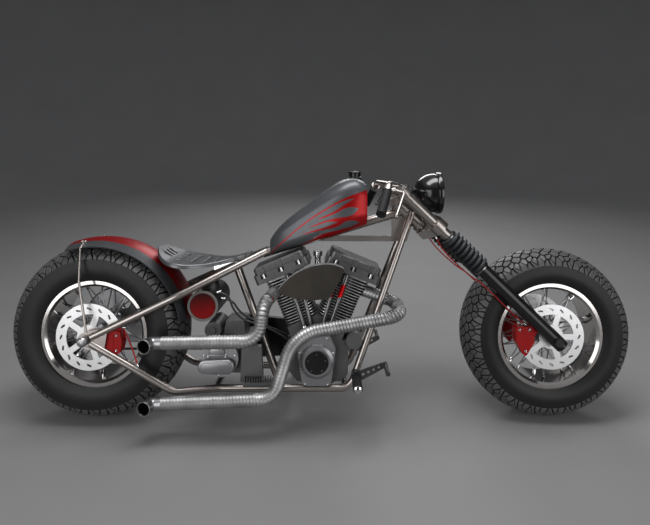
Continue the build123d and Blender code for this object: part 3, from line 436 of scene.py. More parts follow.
# Columns: share of one turn of tape gone, height above the pipe
TAPE_LAP = ((0, -0.8), (0.14, 0.6), (0.92, 3))
FRONT_PIPE = (
    (1030, -28, 496),
    (1160, -28, 450),
    (1160, PIPE_Y, 438),
    (768, PIPE_Y, 370),
    (694, PIPE_Y, 135),
    (TIP_X, PIPE_Y, 119),
)
REAR_PIPE = ((690, -50, 500), (655, -166, 472), (640, PIPE_Y, 345), (TIP_X, PIPE_Y, 339))
heat_tape = finish(
    "heat_tape", (0.3, 0.3, 0.302), metal=0.85, rough=0.44, drift=0.25, mottle=16, grain=0.2, fine=1400
)
pipe_steel = finish("pipe_steel", (0.3, 0.3, 0.305), metal=1.0, rough=0.36)
# Near-black plug inside each mouth: the pipe's soot and painted shade deep in its bore.
soot_and_shade = finish("soot_and_shade", (0.0015, 0.0015, 0.0015), rough=1.0, grain=0.3, sheen=0.0)
tape = bmesh.new()
bands = bmesh.new()
tips = bmesh.new()
mouths = bmesh.new()
for run, bends in ((FRONT_PIPE, (50, 60, 150, 80)), (REAR_PIPE, (55, 70))):
    turns = bent(run, bends, TAPE)
    rings, radii = [], []
    for (spot, way), (ahead, _) in zip(turns, turns[1:]):
        for share, radius in TAPE_LAP:
            rings.append((spot.lerp(ahead, share), way))
            radii.append(EXHAUST_R + radius)
    sleeve(tape, rings, radii, 22, radians(9))
    spot, way = turns[BAND_TURN]
    edge = [(spot + way * d, way) for d in (-6, -5.4, 5.4, 6)]
    sleeve(bands, edge, [EXHAUST_R + 1, EXHAUST_R + 3.2, EXHAUST_R + 3.2, EXHAUST_R + 1], 28)
    screw(bands, spot - Vector((0, 0, EXHAUST_R + 1)), (0, 0, -1), 4, 7)
    end, way = turns[-1]
    corner = end + way * TIP_RUN
    outer = end + way * (TIP_RUN + 10) + Vector((0, -TIP_OUT, 0))
    elbow = bent([end, corner, outer], [TIP_BEND], 4)
    mouth, out = elbow[-1]
    lip = [(mouth + out * d, out) for d in (0.8, 0.8, -1, -12)]
    flare = [EXHAUST_R + 2 + 2.5 * k / (len(elbow) - 1) for k in range(len(elbow))]
    bore = EXHAUST_R + 1.1
    sleeve(tips, elbow + lip, flare + [EXHAUST_R + 3.9, bore + 0.8, bore, bore], 32)
    # The plug closes the bore: painted shade of the pipe's dark inside.
    sleeve(mouths, [(mouth + out * d, out) for d in (-13, -4)], [bore - 0.2, bore - 0.2], 32)
tape = place("exhaust_tape", tape, heat_tape, "chassis", sharp=28)
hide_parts("exhaust_pipes")
place("exhaust_bands", bands, bright_chrome, "chassis")
place("exhaust_soot_and_shade", mouths, soot_and_shade, "chassis")
tips = place("exhaust_mouths", tips, pipe_steel, "chassis")
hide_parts("exhaust_tips")

# Fuel tank: two pressed steel halves, welded and painted grey, with a pinstripe and tongues of
# red flame laid out freehand along both sides.
tank_grey = finish(
    "tank_grey", (0.085, 0.088, 0.095), metal=0.45, rough=0.36, mottle=7, coat=0.08, sheen=0.25
)
# Columns: x and z of the tank floor's rear end, its slope
TANK_FLOOR = (664, 637, 0.301)
FLAME_X = (660.0, 1050.0)
tree = tank_grey.node_tree
along, across, up = upright(tree)
share = node(tree, "MapRange", {0: along, 1: FLAME_X[0], 2: FLAME_X[1]}).outputs[0]
run = maths(tree, "SUBTRACT", along, TANK_FLOOR[0])
fall = maths(tree, "MULTIPLY_ADD", run, TANK_FLOOR[2], TANK_FLOOR[1])
height = maths(tree, "SUBTRACT", up, fall)
# Columns: x, height of a tongue's middle above the tank's floor, half its width, all in mm
TONGUES = (
    (
        (668, 4, 2.6), (740, 52, 3), (803, 86, 3), (870, 112, 3.2),
        (938, 130, 4), (985, 134, 7), (1048, 120, 24),
    ),
    ((850, 88, 0), (885, 90, 3.6), (925, 97, 5), (962, 108, 9), (1000, 108, 20), (1048, 96, 46)),
    (
        (812, 64, 0), (850, 68, 2.6), (895, 70, 3.6), (932, 63, 8),
        (975, 58, 7), (1010, 60, 24), (1048, 62, 46),
    ),
    (
        (782, 45, 0), (830, 47, 2.6), (880, 45, 4.2), (925, 46, 8),
        (965, 56, 8), (1010, 50, 20), (1048, 40, 40),
    ),
    ((768, 2, 0), (820, 8, 4), (872, 16, 9), (930, 10, 13), (990, 6, 16), (1048, 16, 40)),
)
flames = None
for tongue in TONGUES:
    lines = []
    for column, most in ((1, 160), (2, 50)):
        line = node(tree, "FloatCurve", {1: share})
        curve = line.mapping.curves[0]
        reach = FLAME_X[1] - FLAME_X[0]
        spots = [((row[0] - FLAME_X[0]) / reach, row[column] / most) for row in tongue]
        curve.points[0].location = spots[0]
        curve.points[1].location = spots[-1]
        for spot in spots[1:-1]:
            curve.points.new(*spot)
        line.mapping.update()
        lines.append(maths(tree, "MULTIPLY", line.outputs[0], most))
    gap = maths(tree, "ABSOLUTE", maths(tree, "SUBTRACT", height, lines[0]))
    lick = node(tree, "MapRange", {0: maths(tree, "SUBTRACT", lines[1], gap), 1: -0.3, 2: 0.5}).outputs[0]
    started = maths(tree, "GREATER_THAN", along, float(tongue[0][0]))
    lick = maths(tree, "MULTIPLY", lick, started)
    flames = lick if flames is None else maths(tree, "MAXIMUM", flames, lick)
painted_over(tank_grey, flames, (0.31, 0.003, 0.004))
dress(tank_grey, "fuel_tank")
cap_black = finish("cap_black", (0.02, 0.02, 0.021), metal=0.6, rough=0.3, coat=0.2)
CAP = Vector((999, 0, 934))
KNURLS = 32
KNURL_R = 22.6


def lathe(bm, outline, at, way, steps=48):
    """An outline of (along, radius) spun round an axis."""
    at, way = Vector(at), Vector(way).normalized()
    side = way.orthogonal().normalized()
    verts = [bm.verts.new(at + way * along + side * radius) for along, radius in outline]
    edges = [bm.edges.new(pair) for pair in zip(verts, verts[1:])]
    bmesh.ops.spin(bm, geom=verts + edges, cent=at, axis=way, angle=2 * pi, steps=steps, use_merge=True)


bm = bmesh.new()
neck = [(0, 0), (0, 28), (7, 27), (10, 22.5), (21, 22.5), (23, 27)]
neck += [(28, 27.6), (30, 26), (30.6, 20), (29, 18), (29, 0)]
lathe(bm, neck, CAP, (0, 0, 1), 64)
for i in range(KNURLS):
    turn = 2 * pi * i / KNURLS
    knurl = CAP + Vector((KNURL_R * cos(turn), KNURL_R * sin(turn), 16))
    spot = Matrix.Translation(knurl) @ Matrix.Rotation(turn, 4, "Z")
    bmesh.ops.create_cube(bm, size=1, matrix=spot @ Matrix.Diagonal((1.8, 2, 11, 1)))
cap = place("knurled_cap", bm, cap_black, "chassis")
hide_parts("filler_cap")

# Seat: a pan pressed from one sheet, dipped in the middle, its edge rolled down all round, with
# rows of slots punched through it. A black sheet under the pan, seen through the slots, is painted
# shade. It sits on a chromed bracket.
SEAT_REAR = 226
SEAT_Z = 605.7
PAN = 7
NOSE = 364
WIDEST = 104
REAR_HALF = 148
NOSE_HALF = 30


def seat_half(x):
    """Half the pan's width, x ahead of its rear edge."""
    if x < WIDEST:
        return REAR_HALF * sqrt(max(0, 1 - ((WIDEST - x) / WIDEST) ** 2))
    waist = 0.5 + 0.5 * cos(pi * min(1, (x - WIDEST) / 200))
    width = NOSE_HALF + (REAR_HALF - NOSE_HALF) * waist ** 0.75
    return width * sqrt(max(0, 1 - max(0, (x - NOSE + NOSE_HALF) / NOSE_HALF) ** 2))


def seat_rise(x):
    """Height of the pan above its dip: a round dish that sweeps up hard behind."""
    return PAN + 32 * ((x - 184) / 176) ** 2 + 26 * max(0, 1 - x / 74) ** 2


pan_grey = finish("pan_grey", (0.105, 0.107, 0.112), metal=0.6, rough=0.36, grain=0.05, coat=0.15)
ROWS = 48
COLUMNS = 20


def seat_sheet(bm, share, drop):
    """A sheet in the pan's shape, narrowed by a share and set so far below it."""
    rows = []
    for i in range(ROWS + 1):
        x = 3 + (NOSE - 5) * (0.5 - 0.5 * cos(pi * i / ROWS))
        x = WIDEST + (x - WIDEST) * share
        spots = [seat_half(x) * share * (2 * j / COLUMNS - 1) for j in range(COLUMNS + 1)]
        rows.append([bm.verts.new((SEAT_REAR + x, y, SEAT_Z + seat_rise(x) - drop)) for y in spots])
    for before, after in zip(rows, rows[1:]):
        for j in range(COLUMNS):
            bm.faces.new((before[j], before[j + 1], after[j + 1], after[j]))


bm = bmesh.new()
seat_sheet(bm, 1, 0)
middle = Vector((SEAT_REAR + 150, 0, 0))
for drop, out in ((2, 2.5), (4, 1.5), (9, 0)):
    rim = [e for e in bm.edges if e.is_boundary]
    rolled = bmesh.ops.extrude_edge_only(bm, edges=rim)["geom"]
    for v in points_of(rolled):
        away = (v.co - middle) * Vector((1, 1, 0))
        v.co += away.normalized() * out - Vector((0, 0, drop))
bmesh.ops.recalc_face_normals(bm, faces=bm.faces)
bmesh.ops.solidify(bm, geom=bm.faces[:], thickness=2.5)
pan = place("seat_pan", bm, pan_grey, "chassis")
# Columns: distance from the pan's rear, length, width, number across, spacing across
SEAT_SLOTS = (
    (38, 34, 20, 3, 36),
    (92, 13, 17, 5, 38),
    (142, 13, 17, 5, 38),
    (188, 13, 17, 5, 34),
    (226, 12, 16, 3, 34),
)
bm = bmesh.new()
for from_rear, length, width, across, spacing in SEAT_SLOTS:
    for k in range(across):
        y = (k - (across - 1) / 2) * spacing
        if length > width:
            corners = [(SEAT_REAR + from_rear + px, py + y) for px, py in stadium(0, 0, length, width)]
        else:
            corners = [(SEAT_REAR + from_rear + px, py + y) for py, px in stadium(0, 0, width, length)]
        face = bm.faces.new([bm.verts.new((px, py, SEAT_Z - 30)) for px, py in corners])
        raised = bmesh.ops.extrude_face_region(bm, geom=[face])["geom"]
        bmesh.ops.translate(bm, vec=(0, 0, 140), verts=points_of(raised))
punches = place("seat_punches", bm, pan_grey, "chassis")
punch = pan.modifiers.new("slots", "BOOLEAN")
punch.operation = "DIFFERENCE"
punch.object = punches
punched = bpy.data.meshes.new_from_object(pan.evaluated_get(bpy.context.evaluated_depsgraph_get()))
pan.modifiers.clear()
pan.data = punched
bpy.data.objects.remove(punches)
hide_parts("seat")
# A near-black sheet just under the pan, seen through the slots: painted shade beneath the seat.
slot_shade_black = finish("slot_shade_black", (0.008, 0.008, 0.008), rough=0.95, grain=0.4, sheen=0.1)
bm = bmesh.new()
seat_sheet(bm, 0.94, 5)
bmesh.ops.recalc_face_normals(bm, faces=bm.faces)
bmesh.ops.solidify(bm, geom=bm.faces[:], thickness=1.5)
place("seat_slot_shade", bm, slot_shade_black, "chassis")
dress(bright_chrome, "seat_bracket")

# Rear fender: a rolled steel blade, grey at its sides with a wide red band down the middle. A strap
# from each strut laps its edge and is bolted through it.
fender_grey = finish("fender_grey", (0.06, 0.062, 0.067), metal=0.45, rough=0.42, coat=0.04, sheen=0.25)
BAND_HALF = 66.0
tree = fender_grey.node_tree
across = maths(tree, "ABSOLUTE", upright(tree)[1])
painted_over(fender_grey, maths(tree, "LESS_THAN", across, BAND_HALF), (0.22, 0.002, 0.003))
dress(fender_grey, "rear_fender")
dress(frame_lacquer, "fender_struts")
# Columns: from the axle to the middle of the blade's cross arc, radius of that arc
FENDER_ROUND = (97.6, 263.4)
STRAP_ANGLE = radians(97.1)
REAR_AXLE_Z = 343.745
bm = bmesh.new()
for side in (1, -1):
    strap = []
    for across in (116, 108, 99, 90, 80, 70):
        tilt = sqrt(1 - (across / FENDER_ROUND[1]) ** 2)
        r = FENDER_ROUND[0] + FENDER_ROUND[1] * tilt + (3 if across < 110 else -2)
        spot = (r * cos(STRAP_ANGLE), side * across, REAR_AXLE_Z + r * sin(STRAP_ANGLE))
        strap.append(Vector(spot))
    ways = [(after - before).normalized() for before, after in zip(strap, strap[1:])]
    sleeve(bm, list(zip(strap, ways + ways[-1:])), [4.5, 4.5, 4.5, 4.5, 4.2, 3.4], 14)
    up = Vector((cos(STRAP_ANGLE) * tilt, side * 0.3, sin(STRAP_ANGLE) * tilt))
    screw(bm, strap[3] + up * 2, up.normalized(), 7, 8)
place("strut_straps", bm, frame_lacquer, "chassis")

# Foot controls: forged steel arms bolted to the cradle. Their pegs wear grooved rubber sleeves, closed
# by a bright cap.
peg_steel = finish("peg_steel", (0.1, 0.1, 0.103), metal=0.9, rough=0.32)
dress(peg_steel, "foot_controls")
grip_rubber = finish("grip_rubber", (0.01, 0.01, 0.0105), rough=0.6, grain=0.25, fine=1200, sheen=0.2)
PEG = (997.1, 202)
PEG_Y = 166
PEG_END = 266
GROOVE_STEP = 9
GROOVES = 11
bm = bmesh.new()
for side in (1, -1):
    rings, radii = [], []
    for i in range(GROOVES):
        for step, radius in ((0, 15.2), (1.5, 17.4), (5.5, 17.4), (7, 15.2)):
            spot = Vector((PEG[0], side * (PEG_Y + GROOVE_STEP * i + step), PEG[1]))
            rings.append((spot, Vector((0, side, 0))))
            radii.append(radius)
    sleeve(bm, rings, radii, 20)
place("peg_rubbers", bm, grip_rubber, "chassis")
bm = bmesh.new()
for side in (1, -1):
    dome = [(0, 0), (0, 14), (3, 14), (6, 10), (7, 0)]
    lathe(bm, dome, (PEG[0], side * PEG_END, PEG[1]), (0, side, 0), 32)
place("peg_caps", bm, bright_chrome, "chassis")


# Tyres: black rubber carcasses with plain sidewalls and a deep block tread that runs over the
# shoulders. Each block is the ground nearest to one seed, cut by its neighbours with a groove between.
EDGE = radians(45)
DEPTH = 8
PITCHES = 26
PITCH = 80
GROOVE = 5.5
SLIT = 2
SHOULDER = 56
WALL_TOP = 60
RIM_EDGE = 208
BEAD_R = 203.6
BEAD_FOOT = 188
REAR = dict(x=0, radius=342, crown=140, half=110, rim=96)
FRONT = dict(x=1748, radius=328, crown=116, half=92, rim=78)
# Columns: mm along the pitch, share out from the crown's middle, lug. Seeds of one lug part by a slit.
SEEDS = (
    (14, 0.04, 1),
    (54, -0.06, 2),
    (34, 0.25, 3),
    (76, 0.22, 4),
    (14, 0.42, 5),
    (52, 0.47, 6),
    (4, 0.66, 7),
    (30, 0.7, 8),
    (44, 0.8, 8),
    (70, 0.74, 9),
    (10, 0.86, 7),
    (84, 0.84, 9),
)


def crown_point(w, s, lift):
    """(across, radius) on a tyre's tread, s out from its middle, so far above the surface."""
    side, s = (1 if s >= 0 else -1), abs(s)
    bend = min(s / w["crown"], EDGE)
    y = w["crown"] * sin(bend)
    r = w["radius"] - w["crown"] * (1 - cos(bend))
    past = s - w["crown"] * EDGE
    away = Vector((sin(bend), cos(bend)))
    if past > 0:
        foot = Vector((w["half"], w["radius"] - SHOULDER))
        run = foot - Vector((y, r))
        y, r = Vector((y, r)) + run.normalized() * past
        away = Vector((-run.y, run.x)).normalized()
    return side * (y + away.x * lift), r + away.y * lift


def tread_width(w):
    """Half the tread, measured over its curve from the middle to the shoulder's foot."""
    run = Vector((w["half"], w["radius"] - SHOULDER)) - Vector(crown_point(w, w["crown"] * EDGE, 0))
    return w["crown"] * EDGE + run.length


def cell(bm, seed, others, reach):
    """The face of one tread block: a rectangle trimmed back from every neighbour."""
    mine = bmesh.new()
    spot = Vector((seed[0], seed[1], 0))
    bmesh.ops.create_grid(mine, x_segments=1, y_segments=1, size=PITCH, matrix=Matrix.Translation(spot))
    planes = [(Vector((0, side * (reach - 1), 0)), Vector((0, side, 0))) for side in (1, -1)]
    for x, y, lug in others:
        way = Vector((x, y, 0)) - spot
        if 0 < way.length < 1.6 * PITCH:
            gap = SLIT if lug == seed[2] else GROOVE
            planes.append((spot + way / 2 - way.normalized() * gap / 2, way))
    for at, way in planes:
        everything = mine.verts[:] + mine.edges[:] + mine.faces[:]
        bmesh.ops.bisect_plane(mine, geom=everything, plane_co=at, plane_no=way, clear_outer=True)
    bmesh.ops.remove_doubles(mine, verts=mine.verts, dist=0.8)
    for face in mine.faces:
        bm.faces.new([bm.verts.new(v.co) for v in face.verts])
    mine.free()


def axle_height(w):
    """Height of a wheel's middle when the leaning tyre stands on the floor."""
    return w["radius"] + w["crown"] * (1 / cos(LEAN) - 1)


wall_rubber = finish(
    "wall_rubber", (0.008, 0.008, 0.0085), rough=0.42, drift=0.15, mottle=9, grain=0.08, fine=900, sheen=0.25
)
# The tread is a lighter grey than the wall: painted light from above, with some dust. Its grooves take
# painted shade.
tread_rubber = finish(
    "tread_rubber", (0.062, 0.062, 0.063), rough=0.5, drift=0.2, mottle=9, grain=0.15, fine=900, hollow_shade=0.8
)
for name, w, body in (("front_tyre", FRONT, "front_wheel"), ("rear_tyre", REAR, "rear_wheel")):
    axle_z = axle_height(w)
    reach = tread_width(w)
    bm = bmesh.new()
    floor_line = [crown_point(w, reach * k / 10, -DEPTH if k < 10 else 0) for k in range(11)]
    wall = []
    for k in range(1, 11):
        r = w["radius"] - WALL_TOP + (RIM_EDGE + WALL_TOP - w["radius"]) * k / 10
        wall.append((w["half"] + 2.6 * sin(pi * k / 10) - 7 * (k / 10) ** 3, r))
    wall += [(w["rim"] + 5, BEAD_R), (w["rim"] - 6.5, BEAD_R), (w["rim"] - 6.5, BEAD_FOOT)]
    outline = floor_line[1:] + wall
    outline = [(-y, r) for y, r in reversed(outline)] + [floor_line[0]] + outline
    verts = [bm.verts.new((w["x"], y, axle_z + r)) for y, r in outline]
    edges = [bm.edges.new(pair) for pair in zip(verts, verts[1:] + verts[:1])]
    bmesh.ops.spin(
        bm, geom=verts + edges, cent=(w["x"], 0, axle_z), axis=LEFT, angle=2 * pi, steps=120, use_merge=True
    )
    carcass = place(name + "_carcass", bm, wall_rubber, body)
    right = [(x, share * reach, lug) for x, share, lug in SEEDS]
    left = [(x + PITCH / 2, -share * reach, -lug) for x, share, lug in SEEDS[2:]]
    near = [(x + PITCH * k, y, lug + 20 * k) for x, y, lug in right + left for k in (-2, -1, 0, 1, 2)]
    bm = bmesh.new()
    for seed in right + left:
        cell(bm, seed, near, reach)
    bmesh.ops.recalc_face_normals(bm, faces=bm.faces)
    tops = bmesh.ops.extrude_face_region(bm, geom=bm.faces[:])["geom"]
    top_faces = [g for g in tops if isinstance(g, bmesh.types.BMFace)]
    bmesh.ops.translate(bm, vec=(0, 0, DEPTH + 1), verts=points_of(tops))
    rim_edges = list({e for f in top_faces for e in f.edges})
    bmesh.ops.bevel(bm, geom=rim_edges, offset=1.2, segments=1, profile=0.5, affect="EDGES", material=-1)
    for cut in (-0.91, -0.82, -0.7, -0.5, -0.25, 0.25, 0.5, 0.7, 0.82, 0.91):
        everything = bm.verts[:] + bm.edges[:] + bm.faces[:]
        bmesh.ops.bisect_plane(bm, geom=everything, plane_co=(0, reach * cut, 0), plane_no=(0, 1, 0))
    pitch = bm.verts[:] + bm.edges[:] + bm.faces[:]
    for k in range(1, PITCHES):
        copy = bmesh.ops.duplicate(bm, geom=pitch)["geom"]
        bmesh.ops.translate(bm, vec=(PITCH * k, 0, 0), verts=points_of(copy))
    for v in bm.verts:
        turn = 2 * pi * v.co.x / (PITCH * PITCHES)
        y, r = crown_point(w, v.co.y, v.co.z - DEPTH - 1)
        v.co = (w["x"] + r * cos(turn), y, axle_z + r * sin(turn))
    place(name + "_tread", bm, tread_rubber, body, sharp=30)
    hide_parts(name)

# Wheels: rolled and chromed rims on alloy hubs, laced with crossed steel spokes. A nipple at each
# spoke's outer end draws it tight in the rim.
rim_chrome = finish("rim_chrome", (0.47, 0.445, 0.43), metal=1.0, rough=0.13, drift=0.1)
dress(rim_chrome, "front_rim", "rear_rim")
dress(bare_alloy, "front_hub", "rear_hub", "rear_pulley", "rear_axle")
SPOKES = 20
SWEEP = radians(27)
FLANGE_R = 44
LACED_R = 180
CROSSING = 3.4
# Columns: wheel, its sizes, body, distance of the hub's flange and of the spokes' ends from the middle
LACING = (("front", FRONT, "front_wheel", 34, 12), ("rear", REAR, "rear_wheel", 46, 18))
for name, w, body, flange_y, rim_y in LACING:
    axle = Vector((w["x"], 0, axle_height(w)))
    bm = bmesh.new()
    for side in (1, -1):
        for i in range(SPOKES):
            a = radians(360 / SPOKES * i + (9 if side < 0 else 0))
            b = a + (SWEEP if i % 2 else -SWEEP)
            lift = CROSSING if i % 2 else -CROSSING
            start = axle + Vector((FLANGE_R * cos(a), side * (flange_y + lift), FLANGE_R * sin(a)))
            end = axle + Vector((LACED_R * cos(b), side * (rim_y + lift), LACED_R * sin(b)))
            way = (end - start).normalized()
            turn = way.to_track_quat("Z", "Y").to_matrix().to_4x4()
            spot = Matrix.Translation(end - way * 8) @ turn
            bmesh.ops.create_cone(
                bm, cap_ends=True, segments=8, radius1=3.6, radius2=4.6, depth=18, matrix=spot
            )
    place(name + "_nipples", bm, bright_chrome, body)

# Brakes: slotted steel discs, turned on a lathe and bolted to the hubs. The cast calipers are painted
# red and held by bright screws.
for name, w, disc in (("front_disc_steel", FRONT, "front_discs"), ("rear_disc_steel", REAR, "rear_disc")):
    disc_steel = finish(name, (0.66, 0.66, 0.665), metal=1.0, rough=0.38, drift=0.04)
    tree = disc_steel.node_tree
    skin = tree.nodes["Principled BSDF"]
    along, _, up = upright(tree, (w["x"], 0, axle_height(w)))
    squares = maths(tree, "ADD", maths(tree, "MULTIPLY", along, along), maths(tree, "MULTIPLY", up, up))
    rings = {1: maths(tree, "SQRT", squares), "Scale": 0.4}
    turned = node(tree, "TexNoise", rings, noise_dimensions="1D").outputs[0]
    relief = node(tree, "Bump", {"Height": turned, "Strength": 0.1, "Distance": 0.0005}).outputs[0]
    tree.links.new(relief, skin.inputs["Normal"])
    dress(disc_steel, disc)
caliper_red = finish("caliper_red", (0.27, 0.0025, 0.003), rough=0.4, coat=0.05, grain=0.08, sheen=0.15)
dress(caliper_red, "front_calipers", "rear_caliper")
FRONT_CALIPER_Y = 107.5
REAR_CALIPER_Y = -157.5
bm = bmesh.new()
for side in (1, -1):
    for x, z in ((-130, 34), (-92, 34), (-108, -46)):
        screw(bm, (FRONT["x"] + x, side * FRONT_CALIPER_Y, 329.4 + z), (0, side, 0), 5, 5)
place("front_caliper_screws", bm, bright_chrome, "fork")
bm = bmesh.new()
for z in (-40, 14):
    screw(bm, (112, REAR_CALIPER_Y, 343.7 + z), RIGHT, 5, 5)
place("rear_caliper_screws", bm, bright_chrome, "chassis")

# Fork: black sliders on steel legs, held by two forged clamps. Legs, clamps, bar and levers wear the
# frame's lacquer, and the grips are rubber.
AXLE = Vector((1748, 0, 329.446))
FORK_UP = Vector((-0.71934, 0, 0.69466))
FORK_BACK = Vector((-0.69466, 0, -0.71934))
LEG_Y = 125
dress(satin_black, "fork_sliders", "front_axle")
dress(grip_rubber, "grips")
dress(frame_lacquer, "fork_legs", "lower_clamp", "upper_clamp", "handlebar", "levers")


def fork(up, across, back):
    """A point of the fork: up its legs from the axle, across, and back from them."""
    return AXLE + FORK_UP * up + Vector((0, across, 0)) + FORK_BACK * back


# Boots: moulded rubber bellows of eight round ribs. A steel band clips each to the slider below, and
# another to the leg above.
BOOT = (386, 562)
CUFF = 8
RIBS = 8
RIB_STEPS = 8
boot_rubber = finish("boot_rubber", (0.012, 0.013, 0.015), rough=0.5, grain=0.1, sheen=0.35)
clip_steel = finish("clip_steel", (0.2, 0.2, 0.2), metal=1.0, rough=0.3)
boots, clips = bmesh.new(), bmesh.new()
for side in (1, -1):
    tall = BOOT[1] - BOOT[0]
    fold = (tall - 2 * CUFF) / RIBS
    outline = [(0, 21), (0, 30), (CUFF, 30)]
    for k in range(1, RIBS * RIB_STEPS):
        outline.append((CUFF + fold * k / RIB_STEPS, 29 + 10.8 * abs(sin(pi * k / RIB_STEPS)) ** 0.8))
    outline += [(tall - CUFF, 29), (tall, 29), (tall, 21), (0, 21)]
    lathe(boots, outline, fork(BOOT[0], side * LEG_Y, 0), FORK_UP, 40)
    for up, radius in ((BOOT[0] + 4, 30), (BOOT[1] - 4, 29)):
        low, high = radius - 0.5, radius + 1.2
        band = [(-2.5, low), (-2.5, high), (2.5, high), (2.5, low), (-2.5, low)]
        lathe(clips, band, fork(up, side * LEG_Y, 0), FORK_UP, 40)
boots = place("boot_bellows", boots, boot_rubber, "fork", sharp=50)
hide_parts("fork_boots")
place("boot_clips", clips, clip_steel, "fork")

# Hoses: rubber or braided line in one smooth run from fitting to fitting, crimped into a bright
# ferrule at each end. The brake lines are red, the oil lines black.
hose_red = finish("hose_red", (0.3, 0.003, 0.004), rough=0.4, grain=0.3, fine=1800, coat=0.1, sheen=0.3)
hose_black = finish("hose_black", (0.012, 0.012, 0.013), rough=0.45, grain=0.2, fine=1200)
# Columns: distance along a ferrule, its radius as a share of the hose's
FERRULE = ((0, 1.5), (1, 1.75), (9, 1.75), (10, 1.45), (17, 1.45), (18, 1.1))


def hose(name, route, radius, mat, body, ends):
    """A hose on a smooth line through the route's control points, with its two ferrules."""
    route = [PARKED @ Vector(p) for p in route]
    curve = bpy.data.curves.new(name, "CURVE")
    curve.dimensions = "3D"
    curve.bevel_depth = radius / 1000
    curve.bevel_resolution = 4
    curve.resolution_u = 24
    curve.use_fill_caps = True
    spline = curve.splines.new("NURBS")
    spline.points.add(len(route) - 1)
    for point, spot in zip(spline.points, route):
        point.co = (*spot, 1)
    spline.use_endpoint_u = True
    spline.order_u = 3
    curve.materials.append(mat)
    line = bpy.data.objects.new(name, curve)
    bpy.context.scene.collection.objects.link(line)
    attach(line, body)
    back = PARKED.inverted()
    bm = bmesh.new()
    for (tip, after), reach in zip(((route[0], route[1]), (route[-1], route[-2])), ends):
        tip = back @ tip
        way = (back @ after - tip).normalized()
        rings = [(tip + way * (reach + d), way) for d, _ in FERRULE]
        sleeve(bm, rings, [radius * k for _, k in FERRULE], 14)
    ferrules = place(name + "_ferrules", bm, bright_chrome, body)
    return line


# Columns: up the leg, out from the middle, back from the leg
FORK_ROUTE = ((98, 100, 32.5), (150, 104, 42), (340, 116, 36), (400, 112, 52), (560, 112, 52), (600, 106, 24))
for side, name in ((-1, "right_brake_hose"), (1, "left_brake_hose")):
    route = [fork(up, side * out, back) for up, out, back in FORK_ROUTE]
    line = hose(name, route, 2.7, hose_red, "fork", (6, 4))
    if side < 0:
        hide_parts("fork_hoses")
rear_route = [(x, y, REAR_AXLE_Z + z) for x, y, z in ((124, -143.5, 40), (142, -144, 39), (194, -153, -118))]
line = hose("rear_brake_hose", rear_route, 2.7, hose_red, "chassis", (0, 10))
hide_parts("brake_hoses")
OIL_TANK = (419.5, 454.7)
# Columns: along and up from the oil tank's middle, across the machine
FEED = (
    (36, 42, -92), (56, 50, -92), (96, 32, -92), (108, -16, -92),
    (150, -62, -92), (240, -83, -84), (350, -160, -66),
)
RETURN = ((44, 18, -60), (100, 15, -60), (128, -35, -64), (182, -65, -68), (280, -110, -58), (345, -140, -44))
for name, run, length in (("oil_feed_hose", FEED, 395), ("oil_return_hose", RETURN, 349)):
    route = [(OIL_TANK[0] + x, y, OIL_TANK[1] + z) for x, z, y in run]
    line = hose(name, route, 4, hose_black, "chassis", (14, 14))
    if run is FEED:
        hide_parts("oil_hoses")

# Headlight: a spun steel bowl in gloss black on a stub arm, with a rolled rim. A fluted glass lens
# sits in the rim over a bright dish and a capped bulb.
LAMP_HUB = (1235.86, 0, 878.2)
AHEAD = (1, 0, 0)
lens_glass = finish("lens_glass", (0.92, 0.93, 0.94), rough=0.05, drift=0.02)
skin = lens_glass.node_tree.nodes["Principled BSDF"]
skin.inputs["Transmission Weight"].default_value = 0.95
skin.inputs["IOR"].default_value = 1.48
lamp_black = finish("lamp_black", (0.006, 0.006, 0.0065), rough=0.2, coat=0.3, sheen=0.4)
bm = bmesh.new()
quarter = [pi / 2 * k / 12 for k in range(1, 13)]
bowl = [(0, 0)] + [(80 * (1 - cos(a)), 78 * sin(a) ** 0.85) for a in quarter]
bowl += [(81.5, 75.5), (84, 75.5), (86, 81), (89, 82.5), (101, 82.5), (105, 81)]
bowl += [(106, 79), (105.5, 77), (104, 76), (96, 76), (96, 0)]
lathe(bm, bowl, LAMP_HUB, AHEAD, 80)
stub = fork(794, 0, -30)
way = (Vector(LAMP_HUB) + Vector((14, 0, 0)) - stub).normalized()
sleeve(bm, [(stub, way), (stub + way * 60, way)], [13, 13], 24)
lamp_bowl = place("headlight_bowl", bm, lamp_black, "fork", sharp=40)
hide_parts("headlight")
LENS_R = 75
FLUTE = 11
bm = bmesh.new()
shell = [(110 - 6 * (r / LENS_R) ** 2, r) for r in range(0, LENS_R + 1, 5)]
back = [(ahead - 2, r) for ahead, r in reversed(shell)]
lathe(bm, shell + back, LAMP_HUB, AHEAD, 96)
for v in bm.verts:
    if v.co.x > LAMP_HUB[0] + 103:
        v.co.x -= 0.35 * (1 - cos(v.co.y * 2 * pi / FLUTE))
lens = place("lens_glass", bm, lens_glass, "fork")
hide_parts("headlight_lens")
dish_silver = finish("dish_silver", (0.86, 0.86, 0.87), metal=1.0, rough=0.42, drift=0.03)
bm = bmesh.new()
dish = [(96.4, 0), (96.6, 12), (97.4, 30), (99, 50), (101, 66), (103, 75.3), (96.4, 75.3), (96.4, 0)]
lathe(bm, dish, LAMP_HUB, AHEAD, 64)
place("lamp_dish", bm, dish_silver, "fork")
bm = bmesh.new()
lathe(bm, [(96.5, 0), (96.5, 13), (100, 13), (103, 11), (104.6, 7), (105, 0)], LAMP_HUB, AHEAD, 32)
place("lamp_bulb", bm, bare_alloy, "fork")

